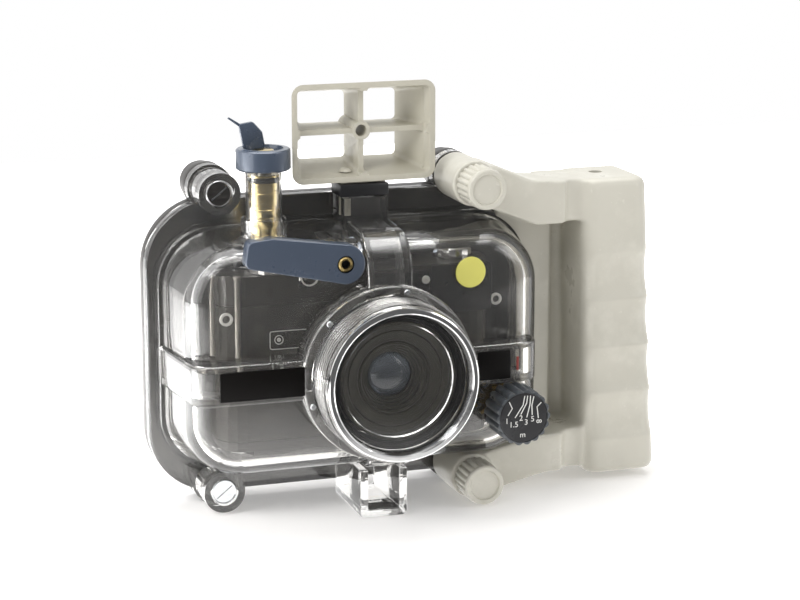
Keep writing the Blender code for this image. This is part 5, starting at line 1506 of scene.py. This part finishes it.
@dataclass
class Studio:
    """Pale floor, soft lights, white surroundings and the camera, all in metres."""

    camera_at: tuple = (-0.2813, -0.8782, 0.2971)
    look: tuple = (0.309, 0.924, -0.225)
    focal: float = 108.0
    room_level: float = 0.42
    dark_way: Pair = (-0.65, -0.15)
    dark_level: float = 0.13
    overhead: tuple = (0.83, 0.94, 0.0, 4.5)
    floor_size: float = 1.7
    floor_level: float = 0.2
    shade_at: tuple = (0.02, 0.0, 0.0)
    shade_form: tuple = (1.0, 1.7, 1.0)
    shade: tuple = (0.10, 0.27, 0.02, 1.0)
    dim_front: Pair = (-0.05, -0.20)
    dim_left: Pair = (-0.16, -0.06)
    dim_right: tuple = (0.20, 0.27, 1.0, 0.0)
    dim_far: Pair = (-0.26, -0.42)
    patches_behind: Pair = (-0.13, -0.05)
    patches: tuple = (
        ((-0.34, 0.00, 0.0), 0.27, 0.14, 6.0),
        ((-0.62, 0.00, 0.0), 0.34, 0.20, 9.0),
        ((-0.22, 0.26, 0.0), 0.24, 0.10, 1.0),
    )
    lamps: tuple = (
        Lamp("key_left", (-0.75, -0.55, 0.95), (0.7, 0.5), 6.0),
        Lamp("side_left", (-0.52, -0.04, 0.27), (0.6, 0.5), 2.0),
        Lamp("fill_right", (0.95, -0.75, 0.55), (0.6, 0.6), 3.5, (0.02, 0.0, 0.07)),
        Lamp("top_back", (0.05, 0.30, 1.0), (1.1, 0.7), 7.0, (0.0, 0.0, 0.06), mirrored=False),
    )

    def room(self) -> None:
        """Surround the scene with white, which mirrors show dark in front and bright above."""
        world = bpy.data.worlds.new("white_room")
        world.use_nodes = True
        bpy.context.scene.world = world
        pen = Nodes(world.node_tree)
        path = pen.add("LightPath")
        glossy = path.outputs["Is Glossy Ray"]
        seen = pen.sum("MAXIMUM", path.outputs["Is Camera Ray"], path.outputs["Is Transmission Ray"])
        level = pen.span(seen, 0.0, 1.0, self.room_level, 1.0)
        way = pen.add("SeparateXYZ", {0: pen.add("TexCoord").outputs["Generated"]})
        mirrored = pen.span(way.outputs["Y"], *self.dark_way, self.dark_level, 1.0)
        change = pen.sum("MULTIPLY", glossy, pen.sum("SUBTRACT", mirrored, level))
        above = pen.sum("MULTIPLY", glossy, pen.span(way.outputs["Z"], *self.overhead))
        back = world.node_tree.nodes["Background"]
        pen.link(pen.sum("ADD", pen.sum("ADD", level, change), above), back, "Strength")
        back.inputs["Color"].default_value = WHITE

    def glow(self, pen: Nodes, place: Socket, across: Socket, path: Node) -> Socket:
        """How bright the floor is of itself: shaded near the object, with patches that only mirrors show.

        Args:
            pen: Pen of the floor's material.
            place: Place on the floor.
            across: The place's Y.
            path: The light path.

        Returns:
            The strength.
        """
        glossy = path.outputs["Is Glossy Ray"]
        near = pen.add("VectorMath", {0: place, 1: self.shade_at}, operation="SUBTRACT").outputs["Vector"]
        near = pen.add("VectorMath", {0: near, 1: self.shade_form}, operation="MULTIPLY").outputs["Vector"]
        reach = pen.add("VectorMath", {0: near}, operation="LENGTH").outputs["Value"]
        seen = pen.sum("SUBTRACT", 1.0, path.outputs["Is Diffuse Ray"])
        rise = pen.sum("MULTIPLY", seen, pen.span(reach, *self.shade))
        rise = pen.sum("MAXIMUM", rise, pen.sum("MULTIPLY", glossy, 0.9))
        behind = pen.sum("MULTIPLY", glossy, pen.span(across, *self.patches_behind))
        for centre, wide, narrow, power in self.patches:
            away = pen.add("VectorMath", {0: place, 1: centre}, operation="DISTANCE").outputs["Value"]
            rise = pen.sum("ADD", rise, pen.sum("MULTIPLY", behind, pen.span(away, wide, narrow, 0.0, power)))
        return pen.sum("ADD", rise, self.floor_level)

    def ground(self) -> None:
        """Lay the floor, which mirrors show darker in front of the object."""
        bpy.ops.object.select_all(action="DESELECT")
        bpy.ops.mesh.primitive_plane_add(size=self.floor_size, location=(0.0, 0.0, -0.0002))
        floor = bpy.context.object
        bpy.ops.object.transform_apply(location=True, rotation=False, scale=False)
        floor.name = "pale_floor"
        made = bpy.data.materials.new("pale_floor")
        made.use_nodes = True
        pen = Nodes(made.node_tree)
        shader = made.node_tree.nodes["Principled BSDF"]
        shader.inputs["Base Color"].default_value = (0.86, 0.845, 0.83, 1.0)
        shader.inputs["Roughness"].default_value = 0.9
        shader.inputs["Emission Color"].default_value = WHITE
        place = pen.add("TexCoord").outputs["Object"]
        split = pen.add("SeparateXYZ", {0: place})
        x, y = split.outputs["X"], split.outputs["Y"]
        path = pen.add("LightPath")
        pen.link(self.glow(pen, place, y, path), shader, "Emission Strength")
        fade = pen.sum("MULTIPLY", pen.span(y, *self.dim_front), pen.span(x, *self.dim_left))
        fade = pen.sum("MULTIPLY", fade, pen.span(x, *self.dim_right))
        fade = pen.sum("MAXIMUM", fade, pen.span(y, *self.dim_far))
        fade = pen.sum("MULTIPLY", path.outputs["Is Glossy Ray"], fade)
        dusk = pen.add("Emission", {"Color": WHITE, "Strength": self.dark_level})
        mixed = pen.add("MixShader", {0: fade, 1: shader.outputs[0], 2: dusk.outputs[0]})
        pen.link(mixed.outputs[0], made.node_tree.nodes["Material Output"], "Surface")
        floor.data.materials.append(made)

    def view(self) -> None:
        """Place the camera."""
        eye = bpy.data.cameras.new("photo_view")
        eye.lens = self.focal
        eye.sensor_width = 36.0
        eye.clip_start = 0.01
        item = bpy.data.objects.new("photo_view", eye)
        bpy.context.scene.collection.objects.link(item)
        item.location = self.camera_at
        item.rotation_euler = Vector(self.look).to_track_quat("-Z", "Y").to_euler()
        bpy.context.scene.camera = item

    def build(self) -> None:
        """Set the stage."""
        bpy.context.scene.view_settings.view_transform = "Standard"
        self.room()
        self.ground()
        for lamp in self.lamps:
            lamp.light()
        self.view()


def main() -> None:
    """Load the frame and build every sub-assembly."""
    logging.basicConfig(level=logging.INFO, format="%(name)s: %(message)s")
    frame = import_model()
    Studio().build()
    bench, palette = Bench(), Palette()
    for kind in (FrontShell, RearCover, Port, Marks, Closing, Grip, Finder, WindControl, ShutterControl,
                 FocusControl, InnerCamera):
        part = kind(bench, palette, frame["nodes"])
        part.build()
        LOG.info("%s: %d pieces", kind.__name__, len(part.made))


if __name__ == "__main__":
    main()
